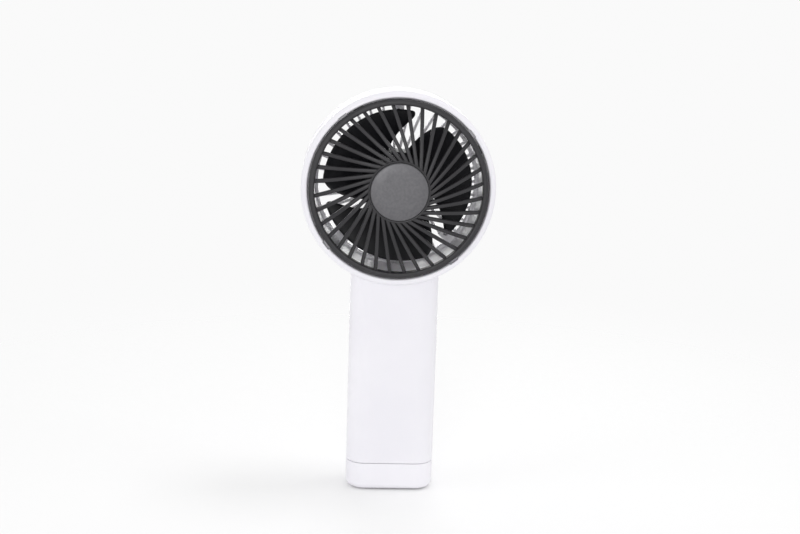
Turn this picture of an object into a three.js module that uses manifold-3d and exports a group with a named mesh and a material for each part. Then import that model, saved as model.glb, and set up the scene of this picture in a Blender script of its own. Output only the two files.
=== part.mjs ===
// Handheld electric fan: a round ducted head on a wide flat handle that stands on its own foot.
// Units are millimetres. +Z is up, -Y is the front, and the origin is the centre of the foot's underside.

import * as THREE from "three";
import { mergeVertices } from "three/addons/utils/BufferGeometryUtils.js";
import Module from "manifold-3d";

const wasm = await Module();
wasm.setup();

// ---------------------------------------------------------------- driving dimensions

const HEAD_Z = 147; // height of the fan's axis, which lies along Y
const HEAD_R = 45;
const HEAD_REAR_Y = 15;
const FRONT_ROUND = 2.3; // rounding of the head's front rim
const REAR_ROUND = 4.5;
const DUCT_R = 38.8; // bore that the air goes through
const WALL = 1.8;
const DUCT_OUTER_R = DUCT_R + WALL;
const FACETS = 44; // round the head
const FINE = 24; // round the hub and the motor

const HANDLE_W = 41.7;
const HANDLE_T = 25;
const HANDLE_CORNER = 9;
const HANDLE_TOP = 112; // the handle's hollow runs into the head up to here
const BASE_TOP = 13.4; // top of the base cap
const GAP = 0.3; // clearance between mating pieces
const SHELL_BOTTOM = BASE_TOP + GAP;
const HALF_SEAM = GAP / 2; // each shell stops this far from the parting plane Y = 0

const FACE_Y = -19; // front face of the grille's ring
const RING_R = [38.7, 41.4];
const RING_REAR_Y = -14.8;
const LIP_Y = -17.9; // front of the shell's lip round the ring
const LIP_REAR_Y = -16.5;
const LIP_R = 41.8;
const SEAT_Y = -14.4; // floor of the seat behind the ring
const GROOVE_R = 42.9; // bayonet groove under the lip
const SLOT_R = 42.7;
const SLOT_ANGLES = [45, 135, 225, 315]; // where the lugs drop in, degrees from +X towards +Z
const LOCK_TURN = 12; // a locked lug lies this many degrees short of its slot
const LUG_HALF = 2.7; // half a lug's length, degrees
const LUG_R = 42.5;

const SPOKES = 36;
const SPOKE_TANGENT = 9.2; // every spoke's centre line touches a circle of this radius
const SPOKE_PHASE = 9.3;
const SPOKE_W = 1.65;
const SPOKE_DEEP = 2.6;
const SPOKE_RIM_Y = -18.3; // front of a spoke where it meets the ring
const SPOKE_HUB_Y = -25; // and where it meets the hub
const HUB_CUP_R = 14.3;
const HUB_CUP_Y = [-25.4, -24.2, -22.2]; // front edge, floor and back of the cup
const BADGE_R = 13.2;
const BADGE_Y = [-26, -24.4];

const IMPELLER_HUB_R = 16.5;
const BLADE_R = 35.2;
const BLADES = 3;
const BLADE_PHASE = 73.5; // angle of one blade's leading tip
const BLADE_SPAN = 104.7; // the blade's sweep at its tip
const BLADE_FRONT_Y = -11.6;
const BLADE_REAR_Y = 5.2;
const BLADE_THICK = 1.3;
const BLADE_CAMBER = 1.2;
const MOTOR_ROOM_R = 15.2; // inside the impeller's hub
const SHAFT_R = 1.5;
const SHAFT_HOLE_R = 1.75;
const ROTOR_CUP_R = 14.9;
const MAGNET_R = [12.2, 14];
const BEARING_R = [1.65, 3.1];
const CORE_Y = [0.2, 5.2]; // the stator's stack of sheets
const CORE_R = [4.4, 6.6];
const TOOTH_R = 7; // where the stator's teeth start
const COILS = 6;

const REAR_VANES = 36;
const VANE_TANGENT = -2; // the vanes lean a little, the other way from the spokes
const VANE_PHASE = 8.3;
const VANE_Y = [9.5, 13.4];
const VANE_W = 1.2;
const REAR_HUB_R = 15.5;
const REAR_RIM_R = 37.3;
const GRILLE_SCREW_R = 34.2;
const GRILLE_SCREW_ANGLES = [90, 225, 315];
const GRILLE_SCREW_Y = 11.3; // the tabs' faces, under the screw heads
const SHOULDER_Y = [6.9, 9.2]; // ledge in the duct that the rear grille rests on
const PAD_HALF = 2.6; // half the width of the ledge's screw pads
const MOTOR_WIRE_Y = 8.3;

const CELL_R = 9.15; // two 18650 cells side by side
const CELL_X = 9.4;
const CELL_Z = [18, 83];
const FLOOR_TOP = 15.5; // shelf under the cells

const BOARD_Y = [3, 4.2];
const BOARD_Z = [85.5, 103.5];
const BOARD_HALF_W = 11;
const CHIP_Y = [1.8, 2.9]; // the chips lie on the board's front
const BUTTON_Z = 95;
const BUTTON_R = 5.9;
const BUTTON_STEM_R = 1.5;
const BUTTON_FLANGE_R = 7;
const SWITCH_HOLE_R = 1.8;
const LIGHT_Z = 86.8;
const LIGHT_XS = [-6, -2, 2, 6];
const LIGHT_R = 0.9;
const LIGHT_HOLE_R = 1.1;

const PILOT_R = 1; // hole that a screw's thread bites into
const CLEAR_R = 1.1; // hole that a screw passes through
const CASE_SCREW = [14.5, 103]; // X and Z
const CASE_BOSS_R = 2.6;
const CASE_SEAT_Y = 10.1; // floor of the counterbore that a case screw's head sits in
const BOARD_SCREW = [9, 101.5]; // X and Z
const BOARD_BOSS_R = 2.2;
const BASE_POST = [13, 4.5]; // X and Y, mirrored through the axis
const HEAD_ROOM_R = 2.2; // counterbore round a screw's head

const BASE_SCREW_Z = 7.7; // where a base screw's head bears
const BASE_FLOOR = 3.3; // thickness of the base cap's floor, with the foot pad's recess
const FOOT_ROUND = 3.2;
const PAD_SIZE = [34, 17, 6, 1.2]; // foot pad: width, depth, corner and thickness
const USB_Z = 8.1;
const USB_REAR_Y = 12.2;
const CHARGE_BOARD_Z = [5.1, 6.3];
const WIRE_R = 0.42;

// ---------------------------------------------------------------- materials

const finish = (color, roughness, metalness = 0) =>
  new THREE.MeshStandardMaterial({ color, roughness, metalness });

const WHITE = finish(0xf1f0f5, 0.38);
const DARK_GREY = finish(0x4c4b50, 0.5);
const BADGE_GREY = finish(0x77767b, 0.4, 0.3);
const BLACK = finish(0x0c0c10, 0.35);
const STEEL = finish(0xb8bac0, 0.3, 1);
const COPPER = finish(0xb8692e, 0.4, 1);
const MAGNET = finish(0x33343a, 0.6, 0.4);
const BRASS = finish(0xc9a24a, 0.35, 1);
const BOARD_GREEN = finish(0x1c5a38, 0.5);
const CHIP_BLACK = finish(0x17171a, 0.6);
const CELL_WRAP = finish(0x2f7fb5, 0.45);
const NICKEL = finish(0xc7c7c2, 0.35, 1);
const RUBBER = finish(0xc9c8cc, 0.85);
const LIGHT_GUIDE = finish(0xf4f6ff, 0.25);
const WIRE_RED = finish(0xb02a24, 0.6);
const WIRE_BLACK = finish(0x202024, 0.6);
const WIRE_WHITE = finish(0xe4e4e6, 0.6);
const FOAM = finish(0x3a3a3f, 0.95);

// ---------------------------------------------------------------- shape helpers

const { degToRad, lerp } = THREE.MathUtils;

function toSolid(geometry) {
  const bare = new THREE.BufferGeometry();
  bare.setAttribute("position", geometry.getAttribute("position"));
  bare.setIndex(geometry.index);
  const merged = mergeVertices(bare, 1e-4);
  const kept = [];
  for (let i = 0; i < merged.index.count; i += 3) {
    const [a, b, c] = merged.index.array.subarray(i, i + 3);
    if (a !== b && b !== c && c !== a) kept.push(a, b, c);
  }
  const vertProperties = merged.attributes.position.array;
  const build = (corners) =>
    new wasm.Manifold(new wasm.Mesh({ numProp: 3, vertProperties, triVerts: new Uint32Array(corners) }));
  const made = build(kept);
  return made.volume() > 0 ? made : build(kept.reverse());
}

function fromSolid(made) {
  const mesh = made.getMesh();
  const geometry = new THREE.BufferGeometry();
  geometry.setAttribute("position", new THREE.BufferAttribute(mesh.vertProperties, 3));
  geometry.setIndex(new THREE.BufferAttribute(mesh.triVerts, 1));
  return geometry;
}

const join = (...pieces) => fromSolid(pieces.map(toSolid).reduce((a, b) => a.add(b)));
const cut = (body, ...tools) => fromSolid(tools.map(toSolid).reduce((a, b) => a.subtract(b), toSolid(body)));
const overlap = (a, b) => fromSolid(toSolid(a).intersect(toSolid(b)));

// A closed profile of [radius, y] points turned about the Y axis, listed so that its outside runs towards +Y.
function turned(profile, facets = FINE) {
  const touchesAxis = profile[0][0] === 0 && profile.at(-1)[0] === 0;
  const points = (touchesAxis ? profile : [...profile, profile[0]]).map(([r, y]) => new THREE.Vector2(r, y));
  return fromSolid(toSolid(new THREE.LatheGeometry(points, facets)));
}

const disc = (r, y0, y1, facets = 20) => turned([[0, y0], [r, y0], [r, y1], [0, y1]], facets);
const tube = (r0, r1, y0, y1, facets = 20) => turned([[r0, y0], [r1, y0], [r1, y1], [r0, y1]], facets);
const post = (r, z0, z1, facets = 14) => disc(r, z0, z1, facets).rotateX(Math.PI / 2);

function box(x0, x1, y0, y1, z0, z1) {
  const made = new THREE.BoxGeometry(x1 - x0, y1 - y0, z1 - z0);
  return made.translate((x0 + x1) / 2, (y0 + y1) / 2, (z0 + z1) / 2);
}

function roundedRectangle(w, h, r) {
  const shape = new THREE.Shape();
  const [x, y] = [w / 2 - r, h / 2 - r];
  shape.absarc(x, y, r, 0, Math.PI / 2);
  shape.absarc(-x, y, r, Math.PI / 2, Math.PI);
  shape.absarc(-x, -y, r, Math.PI, 1.5 * Math.PI);
  shape.absarc(x, -y, r, 1.5 * Math.PI, 2 * Math.PI);
  return shape;
}

// A rounded rectangle in X and Y, pulled up from z0 to z1.
function slab(w, t, corner, z0, z1, curveSegments = 3) {
  const options = { depth: z1 - z0, bevelEnabled: false, curveSegments };
  return new THREE.ExtrudeGeometry(roundedRectangle(w, t, corner), options).translate(0, 0, z0);
}

// Part of a ring about the Y axis, between two angles in degrees.
function sector(r0, r1, y0, y1, from, to) {
  const shape = new THREE.Shape();
  shape.absarc(0, 0, r1, degToRad(from), degToRad(to));
  shape.absarc(0, 0, r0, degToRad(to), degToRad(from), true);
  const options = { depth: y1 - y0, bevelEnabled: false, curveSegments: 2 };
  return new THREE.ExtrudeGeometry(shape, options).rotateX(Math.PI / 2).translate(0, y1, 0);
}

// The profile points of a quarter round about (r, y), from one angle to another in degrees.
function roundTo(r, y, radius, from, to, steps = 4) {
  return Array.from({ length: steps + 1 }, (_, i) => {
    const angle = degToRad(lerp(from, to, i / steps));
    return [r + radius * Math.cos(angle), y + radius * Math.sin(angle)];
  });
}

// A copy of a geometry set at a radius and an angle round the Y axis.
function around(geometry, radius, degrees) {
  return geometry.clone().translate(radius, 0, 0).rotateY(-degToRad(degrees));
}

// A closed bar whose unit box, divided along X and Z, is bent by place(x, y, z), each from 0 to 1.
function bent(stepsX, stepsZ, place) {
  const made = new THREE.BoxGeometry(1, 1, 1, stepsX, 1, stepsZ).translate(0.5, 0.5, 0.5);
  const points = made.getAttribute("position");
  for (let i = 0; i < points.count; i++) {
    points.setXYZ(i, ...place(points.getX(i), points.getY(i), points.getZ(i)));
  }
  return made;
}

// A straight bar that touches a circle of radius tangent about the Y axis, and leans from there to the rim.
function leaningBar(angle, tangent, r0, r1, width, deep, frontAt, steps) {
  const [c, s] = [Math.cos(degToRad(angle)), Math.sin(degToRad(angle))];
  const [u0, u1] = [r0, r1].map((r) => Math.sqrt(r * r - tangent * tangent));
  return bent(steps, 1, (x, y, z) => {
    const along = lerp(u0, u1, x);
    const side = tangent + (z - 0.5) * width;
    return [side * s + along * c, frontAt(Math.hypot(tangent, along)) + y * deep, along * s - side * c];
  });
}

function wire(...route) {
  const path = new THREE.CatmullRomCurve3(route.map((p) => new THREE.Vector3(...p)));
  const section = new THREE.Shape().absarc(0, 0, WIRE_R, 0, 2 * Math.PI);
  const steps = 3 * (route.length - 1);
  const options = { extrudePath: path, steps, curveSegments: 3, bevelEnabled: false };
  return new THREE.ExtrudeGeometry(section, options);
}

// A pan-head screw along Y whose head faces +Y, with its head's underside at the origin.
function screw(headR, shankR, length) {
  const drive = box(-0.25, 0.25, 0.7, 2, -3, 3);
  const whole = turned([[0, -length], [shankR, -length], [shankR, 0], [headR, 0], [headR, 0.9],
    [headR - 0.5, 1.4], [0, 1.4]], 10);
  return cut(whole, drive);
}

// ---------------------------------------------------------------- casing

function headBody() {
  return turned([
    [0, LIP_Y],
    ...roundTo(HEAD_R - FRONT_ROUND, LIP_Y + FRONT_ROUND, FRONT_ROUND, -90, 0),
    ...roundTo(HEAD_R - REAR_ROUND, HEAD_REAR_Y - REAR_ROUND, REAR_ROUND, 0, 90),
    [0, HEAD_REAR_Y],
  ], FACETS).translate(0, 0, HEAD_Z);
}

function casingBody() {
  return join(headBody(), slab(HANDLE_W, HANDLE_T, HANDLE_CORNER, SHELL_BOTTOM, HANDLE_TOP));
}

// The room inside the casing: the handle's hollow, the ring-shaped space round the duct, and the duct itself.
function casingRoom() {
  const hollow = slab(HANDLE_W - 2 * WALL, HANDLE_T - 2 * WALL, HANDLE_CORNER - WALL, FLOOR_TOP, HANDLE_TOP);
  const ductWall = disc(DUCT_OUTER_R, -20, 20, FACETS).translate(0, 0, HEAD_Z);
  const jacket = tube(DUCT_OUTER_R, HEAD_R - WALL, SEAT_Y + WALL, HEAD_REAR_Y - 2.2, FACETS);
  const duct = disc(DUCT_R, -20, 20, FACETS).translate(0, 0, HEAD_Z);
  return join(cut(hollow, ductWall), jacket.translate(0, 0, HEAD_Z), duct);
}

const HALF_SPACE = 60;
const frontHalf = () => box(-HALF_SPACE, HALF_SPACE, -HALF_SPACE, -HALF_SEAM, 0, 4 * HALF_SPACE);
const rearHalf = () => box(-HALF_SPACE, HALF_SPACE, HALF_SEAM, HALF_SPACE, 0, 4 * HALF_SPACE);

// The seat that the grille's ring drops into, with a groove under its lip that each lug turns along.
function grilleSeat() {
  const bore = tube(DUCT_R - 1, LIP_R, LIP_Y - 2, SEAT_Y, FACETS);
  const chamfer = turned([[LIP_R - 1, LIP_Y - 0.2], [LIP_R + 0.7, LIP_Y - 0.2], [LIP_R - 0.1, LIP_Y + 0.7],
    [LIP_R - 1, LIP_Y + 0.7]], FACETS);
  const ways = SLOT_ANGLES.flatMap((a) => [
    sector(LIP_R - 1, SLOT_R, LIP_Y - 2, SEAT_Y, a - 3, a + 3),
    sector(LIP_R - 1, GROOVE_R, LIP_REAR_Y, SEAT_Y, a - LOCK_TURN - LUG_HALF - 0.4, a + 3),
  ]);
  return join(bore, chamfer, ...ways).translate(0, 0, HEAD_Z);
}

// Two copies of a piece, left and right of the middle, at [x, z].
const bothSides = (geometry, [x, z]) => [-x, x].map((at) => geometry.clone().translate(at, 0, z));

// The post in the handle's floor that a base screw bites into, and the hole in it. Each shell has one.
const atBasePost = (geometry, side) => geometry.translate(side * BASE_POST[0], side * BASE_POST[1], 0);
const basePost = (side) => atBasePost(post(3, FLOOR_TOP - 1, 17.4), side);
const basePilot = (side) => atBasePost(post(PILOT_R, 12, 17, 12), side);

function frontShell() {
  const half = overlap(cut(casingBody(), casingRoom(), grilleSeat()), frontHalf());
  const bosses = bothSides(disc(CASE_BOSS_R, -11, -HALF_SEAM, 12), CASE_SCREW);
  const pilots = bothSides(disc(PILOT_R, -9, 1, 12), CASE_SCREW);
  return cut(join(half, ...bosses, basePost(-1)), ...pilots, basePilot(-1));
}

function rearShell() {
  const half = overlap(cut(casingBody(), casingRoom()), rearHalf());
  const caseBosses = bothSides(disc(CASE_BOSS_R, HALF_SEAM, HANDLE_T / 2 - WALL, 12), CASE_SCREW);
  const boardBosses = bothSides(disc(BOARD_BOSS_R, BOARD_Y[1] + GAP, 11, 12), BOARD_SCREW);
  const ledge = tube(DUCT_R - 1.1, DUCT_R + 0.5, ...SHOULDER_Y, FACETS);
  const pads = GRILLE_SCREW_ANGLES.map((a) =>
    around(box(-PAD_HALF, PAD_HALF + 2, ...SHOULDER_Y, -PAD_HALF, PAD_HALF), GRILLE_SCREW_R, a));
  const shoulder = join(ledge, ...pads).translate(0, 0, HEAD_Z);
  const body = join(half, ...caseBosses, ...boardBosses, basePost(1), shoulder);
  const caseHole = join(disc(CLEAR_R, -1, 14, 12), disc(HEAD_ROOM_R, CASE_SEAT_Y, 14, 16));
  const caseHoles = bothSides(caseHole, CASE_SCREW);
  const boardHoles = bothSides(disc(PILOT_R, 3, 9, 12), BOARD_SCREW);
  const grilleHoles = GRILLE_SCREW_ANGLES.map((a) =>
    around(disc(PILOT_R, 6, 10, 12), GRILLE_SCREW_R, a).translate(0, 0, HEAD_Z));
  const lightHoles = LIGHT_XS.map((x) => disc(LIGHT_HOLE_R, 9, 14, 12).translate(x, 0, LIGHT_Z));
  const buttonHole = disc(BUTTON_R + 0.25, 9, 14, FINE).translate(0, 0, BUTTON_Z);
  const wireWay = box(-2.6, 2.6, SHOULDER_Y[0] - 0.5, SHOULDER_Y[1] + 0.2, HEAD_Z - 41.5, HEAD_Z - 36);
  const chargeWay = box(-3.5, 3.5, 5, 10, 12, 16);
  return cut(body, ...caseHoles, ...boardHoles, ...grilleHoles, ...lightHoles, buttonHole, wireWay, chargeWay,
    basePilot(1));
}

// ---------------------------------------------------------------- base

function baseCap() {
  const options = { depth: 2 * BASE_TOP, bevelThickness: FOOT_ROUND, bevelSize: FOOT_ROUND,
    bevelOffset: -FOOT_ROUND, bevelSegments: 3, curveSegments: 3 };
  const tall = new THREE.ExtrudeGeometry(roundedRectangle(HANDLE_W, HANDLE_T, HANDLE_CORNER), options);
  const outside = overlap(tall.translate(0, 0, GAP + FOOT_ROUND), box(-30, 30, -20, 20, 0, BASE_TOP));
  const room = slab(HANDLE_W - 2 * WALL, HANDLE_T - 2 * WALL, HANDLE_CORNER - WALL, BASE_FLOOR, BASE_TOP + 1);
  const [w, t, corner, thick] = PAD_SIZE;
  const recess = slab(w + 2 * GAP, t + 2 * GAP, corner + GAP, -1, thick + GAP, 4);
  const posts = [-1, 1].map((side) => atBasePost(post(3.4, BASE_FLOOR - GAP, BASE_TOP), side));
  const rests = [7, -8.5].map((x) => box(x, x + 1.5, -5, 9, BASE_FLOOR - GAP, CHARGE_BOARD_Z[0] - 0.2));
  const screwWays = [-1, 1].flatMap((side) => [
    atBasePost(post(HEAD_ROOM_R, -1, BASE_SCREW_Z + 0.1), side),
    atBasePost(post(CLEAR_R, 7, BASE_TOP + 1, 12), side),
  ]);
  const mouth = slab(9.5, 3.8, 1.85, 0, 6).rotateX(-Math.PI / 2).translate(0, 8, USB_Z);
  return cut(join(cut(outside, room), ...posts, ...rests), recess, ...screwWays, mouth);
}

function footPad() {
  const [w, t, corner, thick] = PAD_SIZE;
  return slab(w, t, corner, 0, thick, 4);
}

function usbPort() {
  const long = 7.3;
  const can = slab(8.9, 3.2, 1.55, 0, long, 3);
  const mouth = slab(8.3, 2.6, 1.25, 1, long + 1, 3);
  const tongue = box(-3.3, 3.3, -0.35, 0.35, 0.5, 6);
  return join(cut(can, mouth), tongue).rotateX(-Math.PI / 2).translate(0, USB_REAR_Y - long, USB_Z);
}

// ---------------------------------------------------------------- front grille

const domeY = (r) => lerp(SPOKE_HUB_Y, SPOKE_RIM_Y, ((r - HUB_CUP_R) / (RING_R[0] - HUB_CUP_R)) ** 1.8 || 0);

function frontGrille() {
  const [r0, r1] = RING_R;
  const rim = turned([[r0, FACE_Y + 0.6], [r0 + 0.6, FACE_Y], [r1 - 0.6, FACE_Y], [r1, FACE_Y + 0.6],
    [r1, RING_REAR_Y], [r0, RING_REAR_Y]], FACETS);
  const [edge, floor, back] = HUB_CUP_Y;
  const hub = turned([[0, floor], [BADGE_R + 0.25, floor], [BADGE_R + 0.25, edge], [HUB_CUP_R - 0.4, edge],
    [HUB_CUP_R, edge + 0.4], [HUB_CUP_R, back], [0, back]]);
  const spokes = Array.from({ length: SPOKES }, (_, k) =>
    leaningBar(SPOKE_PHASE + (360 / SPOKES) * k, SPOKE_TANGENT, HUB_CUP_R - 0.5, r0 + 1, SPOKE_W, SPOKE_DEEP,
      (r) => domeY(Math.max(r, HUB_CUP_R)), 2));
  const lugs = SLOT_ANGLES.map((a) =>
    sector(r1 - 1, LUG_R, LIP_REAR_Y + GAP, RING_REAR_Y, a - LOCK_TURN - LUG_HALF, a - LOCK_TURN + LUG_HALF));
  return join(rim, hub, ...spokes, ...lugs);
}

function hubBadge() {
  const [front, back] = BADGE_Y;
  return turned([[0, front], [BADGE_R - 0.8, front + 0.1], [BADGE_R, front + 0.7], [BADGE_R, back],
    [0, back]]);
}

// ---------------------------------------------------------------- rear grille and motor

function rearGrille() {
  const [front, rear] = VANE_Y;
  const rim = tube(REAR_RIM_R, DUCT_R - GAP, front, rear + 0.8, FACETS);
  const hub = turned([[0, 11.4], [4.4, 11.4], [4.4, front], [REAR_HUB_R, front], [REAR_HUB_R, rear - 0.8],
    [13, rear], [0, rear]]);
  const vanes = Array.from({ length: REAR_VANES }, (_, k) =>
    leaningBar(VANE_PHASE + (360 / REAR_VANES) * k, VANE_TANGENT, REAR_HUB_R - 1, REAR_RIM_R + 0.6, VANE_W,
      rear - front, () => front, 1));
  const atScrews = (geometry) => GRILLE_SCREW_ANGLES.map((a) => around(geometry, GRILLE_SCREW_R, a));
  const tabs = atScrews(disc(2.7, front, GRILLE_SCREW_Y, 16));
  const wireRib = box(-2.4, 2.4, 9, 12.5, -36.5, -14);
  const wireCover = box(-9, 9, front, rear, -36.4, -30.5);
  const body = join(rim, hub, ...vanes, ...tabs, wireRib, wireCover);
  const headRoom = atScrews(disc(2.1, GRILLE_SCREW_Y, 15, 16));
  const holes = atScrews(disc(PILOT_R, 9, 12, 12));
  return cut(body, ...headRoom, ...holes);
}

const bearingTube = () => turned([[3.2, -3], [4.2, -3], [4.2, 8.3], [5.5, 8.3], [5.5, 9.2], [4.2, 9.2],
  [4.2, 11.1], [3.2, 11.1]]);
const bearing = () => tube(...BEARING_R, 0, 2.5);

function statorCore() {
  const tooth = join(box(-1, 4.2, ...CORE_Y, -1.1, 1.1), box(3.5, 4.5, ...CORE_Y, -3.2, 3.2));
  return join(tube(...CORE_R, ...CORE_Y), ...Array.from({ length: COILS }, (_, k) => atCoil(tooth, k)));
}

const atCoil = (geometry, k) => around(geometry, TOOTH_R, (360 / COILS) * k);
const coil = (k) => atCoil(cut(box(0.1, 3.1, -1, 6.4, -2.4, 2.4), box(-0.9, 4.1, 0, 5.4, -1.3, 1.3)), k);
const motorBoard = () => tube(4.5, 13, 7.2, 8, FINE);

const impellerHub = () => turned([[0, -12.7], [12, -12.4], [MOTOR_ROOM_R, -11.3], [IMPELLER_HUB_R, -9.3],
  [IMPELLER_HUB_R, 6], [MOTOR_ROOM_R, 6], [MOTOR_ROOM_R, -9], [SHAFT_HOLE_R, -9], [SHAFT_HOLE_R, -9.9],
  [0, -9.9]]);

// A wide blade. Its leading edge is at the back, and the fan turns clockwise seen from the front.
function blade(k) {
  return bent(12, 5, (x, y, z) => {
    const r = lerp(IMPELLER_HUB_R - 0.8, BLADE_R, z);
    const inward = (BLADE_R - r) / (BLADE_R - IMPELLER_HUB_R);
    const tipRound = 4 * Math.max(0, z * 5 - 4) ** 2;
    const lead = BLADE_PHASE + 32 * Math.max(0, inward) ** 1.3 + tipRound;
    const trail = BLADE_PHASE + BLADE_SPAN + 21.5 * Math.max(0, inward) - tipRound;
    const angle = degToRad(lerp(lead, trail, x) + (360 / BLADES) * k);
    const camber = BLADE_CAMBER * Math.sin(Math.PI * x);
    const middle = lerp(BLADE_REAR_Y, BLADE_FRONT_Y, x) + camber;
    return [r * Math.cos(angle), middle + (y - 0.5) * BLADE_THICK, r * Math.sin(angle)];
  });
}

const impeller = () => join(impellerHub(), ...Array.from({ length: BLADES }, (_, k) => blade(k)));
const rotorCup = () => turned([[SHAFT_HOLE_R, -8.6], [ROTOR_CUP_R, -8.6], [ROTOR_CUP_R, 5.8],
  [ROTOR_CUP_R - 0.8, 5.8], [ROTOR_CUP_R - 0.8, -7.8], [SHAFT_HOLE_R, -7.8]]);
const rotorMagnet = () => tube(...MAGNET_R, -1, 5.6, FINE);
const shaft = () => disc(SHAFT_R, -9.7, 10.4, 16);
const shaftClip = () => tube(SHAFT_R + 0.05, 2.9, 9.8, 10.3, 16);

// ---------------------------------------------------------------- handle contents

function cell() {
  const [low, high] = CELL_Z;
  const shoulder = high - 1.1;
  return turned([[0, low], [CELL_R - 0.6, low], [CELL_R, low + 0.6], [CELL_R, shoulder - 0.9],
    [CELL_R - 0.9, shoulder], [3, shoulder], [3, high], [0, high]]).rotateX(Math.PI / 2);
}

function mainBoard() {
  const holes = bothSides(disc(PILOT_R, 2, 5, 12), BOARD_SCREW);
  return cut(box(-BOARD_HALF_W, BOARD_HALF_W, ...BOARD_Y, ...BOARD_Z), ...holes);
}

// A key with a stem that bears on the switch, and a flange that stays behind the wall.
const powerButton = () => turned([[0, 8.3], [BUTTON_STEM_R, 8.3], [BUTTON_STEM_R, 9.2],
  [BUTTON_FLANGE_R, 9.2], [BUTTON_FLANGE_R, 10.35], [BUTTON_R, 10.35], [BUTTON_R, 12.5],
  [BUTTON_R - 0.4, 12.9], [0, 12.9]]);
const switchBody = () => cut(box(-3, 3, 4.4, 7.6, -3, 3), disc(SWITCH_HOLE_R, 5, 9, 16));
const switchPlunger = () => disc(BUTTON_STEM_R, 5.9, 8.1, 16);

// ---------------------------------------------------------------- assembly

const fan = new THREE.Group();
const head = new THREE.Group();
head.position.z = HEAD_Z;
fan.add(head);

function place(group, name, geometry, material, x = 0, y = 0, z = 0) {
  const mesh = new THREE.Mesh(geometry, material);
  mesh.name = name;
  mesh.position.set(x, y, z);
  group.add(mesh);
  return mesh;
}

place(fan, "front_shell", frontShell(), WHITE);
place(fan, "rear_shell", rearShell(), WHITE);
place(fan, "base_cap", baseCap(), WHITE);
place(fan, "foot_pad", footPad(), RUBBER);

place(head, "front_grille", frontGrille(), DARK_GREY);
place(head, "hub_badge", hubBadge(), BADGE_GREY);
place(head, "rear_grille", rearGrille(), WHITE);
GRILLE_SCREW_ANGLES.forEach((a, i) => {
  const [x, z] = [Math.cos(degToRad(a)), Math.sin(degToRad(a))].map((v) => v * GRILLE_SCREW_R);
  place(head, `rear_grille_screw_${i + 1}`, screw(1.8, 0.8, 4.2), STEEL, x, GRILLE_SCREW_Y + 0.1, z);
});

place(head, "impeller", impeller(), BLACK);
place(head, "rotor_cup", rotorCup(), STEEL);
place(head, "rotor_magnet", rotorMagnet(), MAGNET);
place(head, "motor_shaft", shaft(), STEEL);
place(head, "shaft_clip", shaftClip(), STEEL);
place(head, "bearing_tube", bearingTube(), BRASS);
place(head, "bearing_front", bearing(), STEEL, 0, -2.8, 0);
place(head, "bearing_rear", bearing(), STEEL, 0, 7, 0);
place(head, "stator_core", statorCore(), STEEL);
for (let k = 0; k < COILS; k++) place(head, `stator_coil_${k + 1}`, coil(k), COPPER);
place(head, "motor_board", motorBoard(), BOARD_GREEN);
[-1.1, 0, 1.1].forEach((x, i) => {
  const route = wire([x, MOTOR_WIRE_Y, -13.6], [x, MOTOR_WIRE_Y, -26], [x, MOTOR_WIRE_Y, -38],
    [x, 6.9, -42.2], [x, 4.8, -45.2]);
  place(head, `motor_wire_${i + 1}`, route, [WIRE_WHITE, WIRE_RED, WIRE_BLACK][i]);
});

place(fan, "battery_cell_left", cell(), CELL_WRAP, -CELL_X);
place(fan, "battery_cell_right", cell(), CELL_WRAP, CELL_X);
place(fan, "cell_strip_top", box(-13, 13, -3, 3, CELL_Z[1] + 0.1, CELL_Z[1] + 0.4), NICKEL);
place(fan, "cell_strip_bottom", box(-9, 9, -3, 3, CELL_Z[0] - 0.4, CELL_Z[0] - 0.1), NICKEL);
place(fan, "battery_foam", box(-12, 12, -10.6, -9.9, 25, 76), FOAM);

place(fan, "main_board", mainBoard(), BOARD_GREEN);
place(fan, "controller_chip", box(-8, -3, ...CHIP_Y, 91, 96), CHIP_BLACK);
place(fan, "motor_driver_chip", box(-7, -3, ...CHIP_Y, 97.5, 100), CHIP_BLACK);
place(fan, "power_inductor", box(0, 6, -0.6, CHIP_Y[1], 92, 98), CHIP_BLACK);
place(fan, "switch_body", switchBody(), CHIP_BLACK, 0, 0, BUTTON_Z);
place(fan, "switch_plunger", switchPlunger(), NICKEL, 0, 0, BUTTON_Z);
place(fan, "power_button", powerButton(), WHITE, 0, 0, BUTTON_Z);
LIGHT_XS.forEach((x, i) =>
  place(fan, `level_light_${i + 1}`, disc(LIGHT_R, 4.5, 12.4, 12), LIGHT_GUIDE, x, 0, LIGHT_Z));
["left", "right"].forEach((side, i) => {
  const s = 2 * i - 1;
  place(fan, `case_screw_${side}`, screw(1.9, 0.85, 18), STEEL, s * CASE_SCREW[0], CASE_SEAT_Y + 0.1,
    CASE_SCREW[1]);
  const held = place(fan, `board_screw_${side}`, screw(1.7, 0.8, 5), STEEL, s * BOARD_SCREW[0],
    BOARD_Y[0] - 0.1, BOARD_SCREW[1]);
  held.rotation.x = Math.PI;
  const base = place(fan, `base_screw_${side}`, screw(1.9, 0.85, 8.6), STEEL, s * BASE_POST[0],
    s * BASE_POST[1], BASE_SCREW_Z);
  base.rotation.x = -Math.PI / 2;
});

place(fan, "charge_board", box(-9.2, 9.2, -6, 9.8, ...CHARGE_BOARD_Z), BOARD_GREEN);
place(fan, "charge_chip", box(-2.5, 2.5, -2.5, 2.5, CHARGE_BOARD_Z[1] + 0.1, 7.4), CHIP_BLACK);
place(fan, "usb_port", usbPort(), STEEL);

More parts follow.
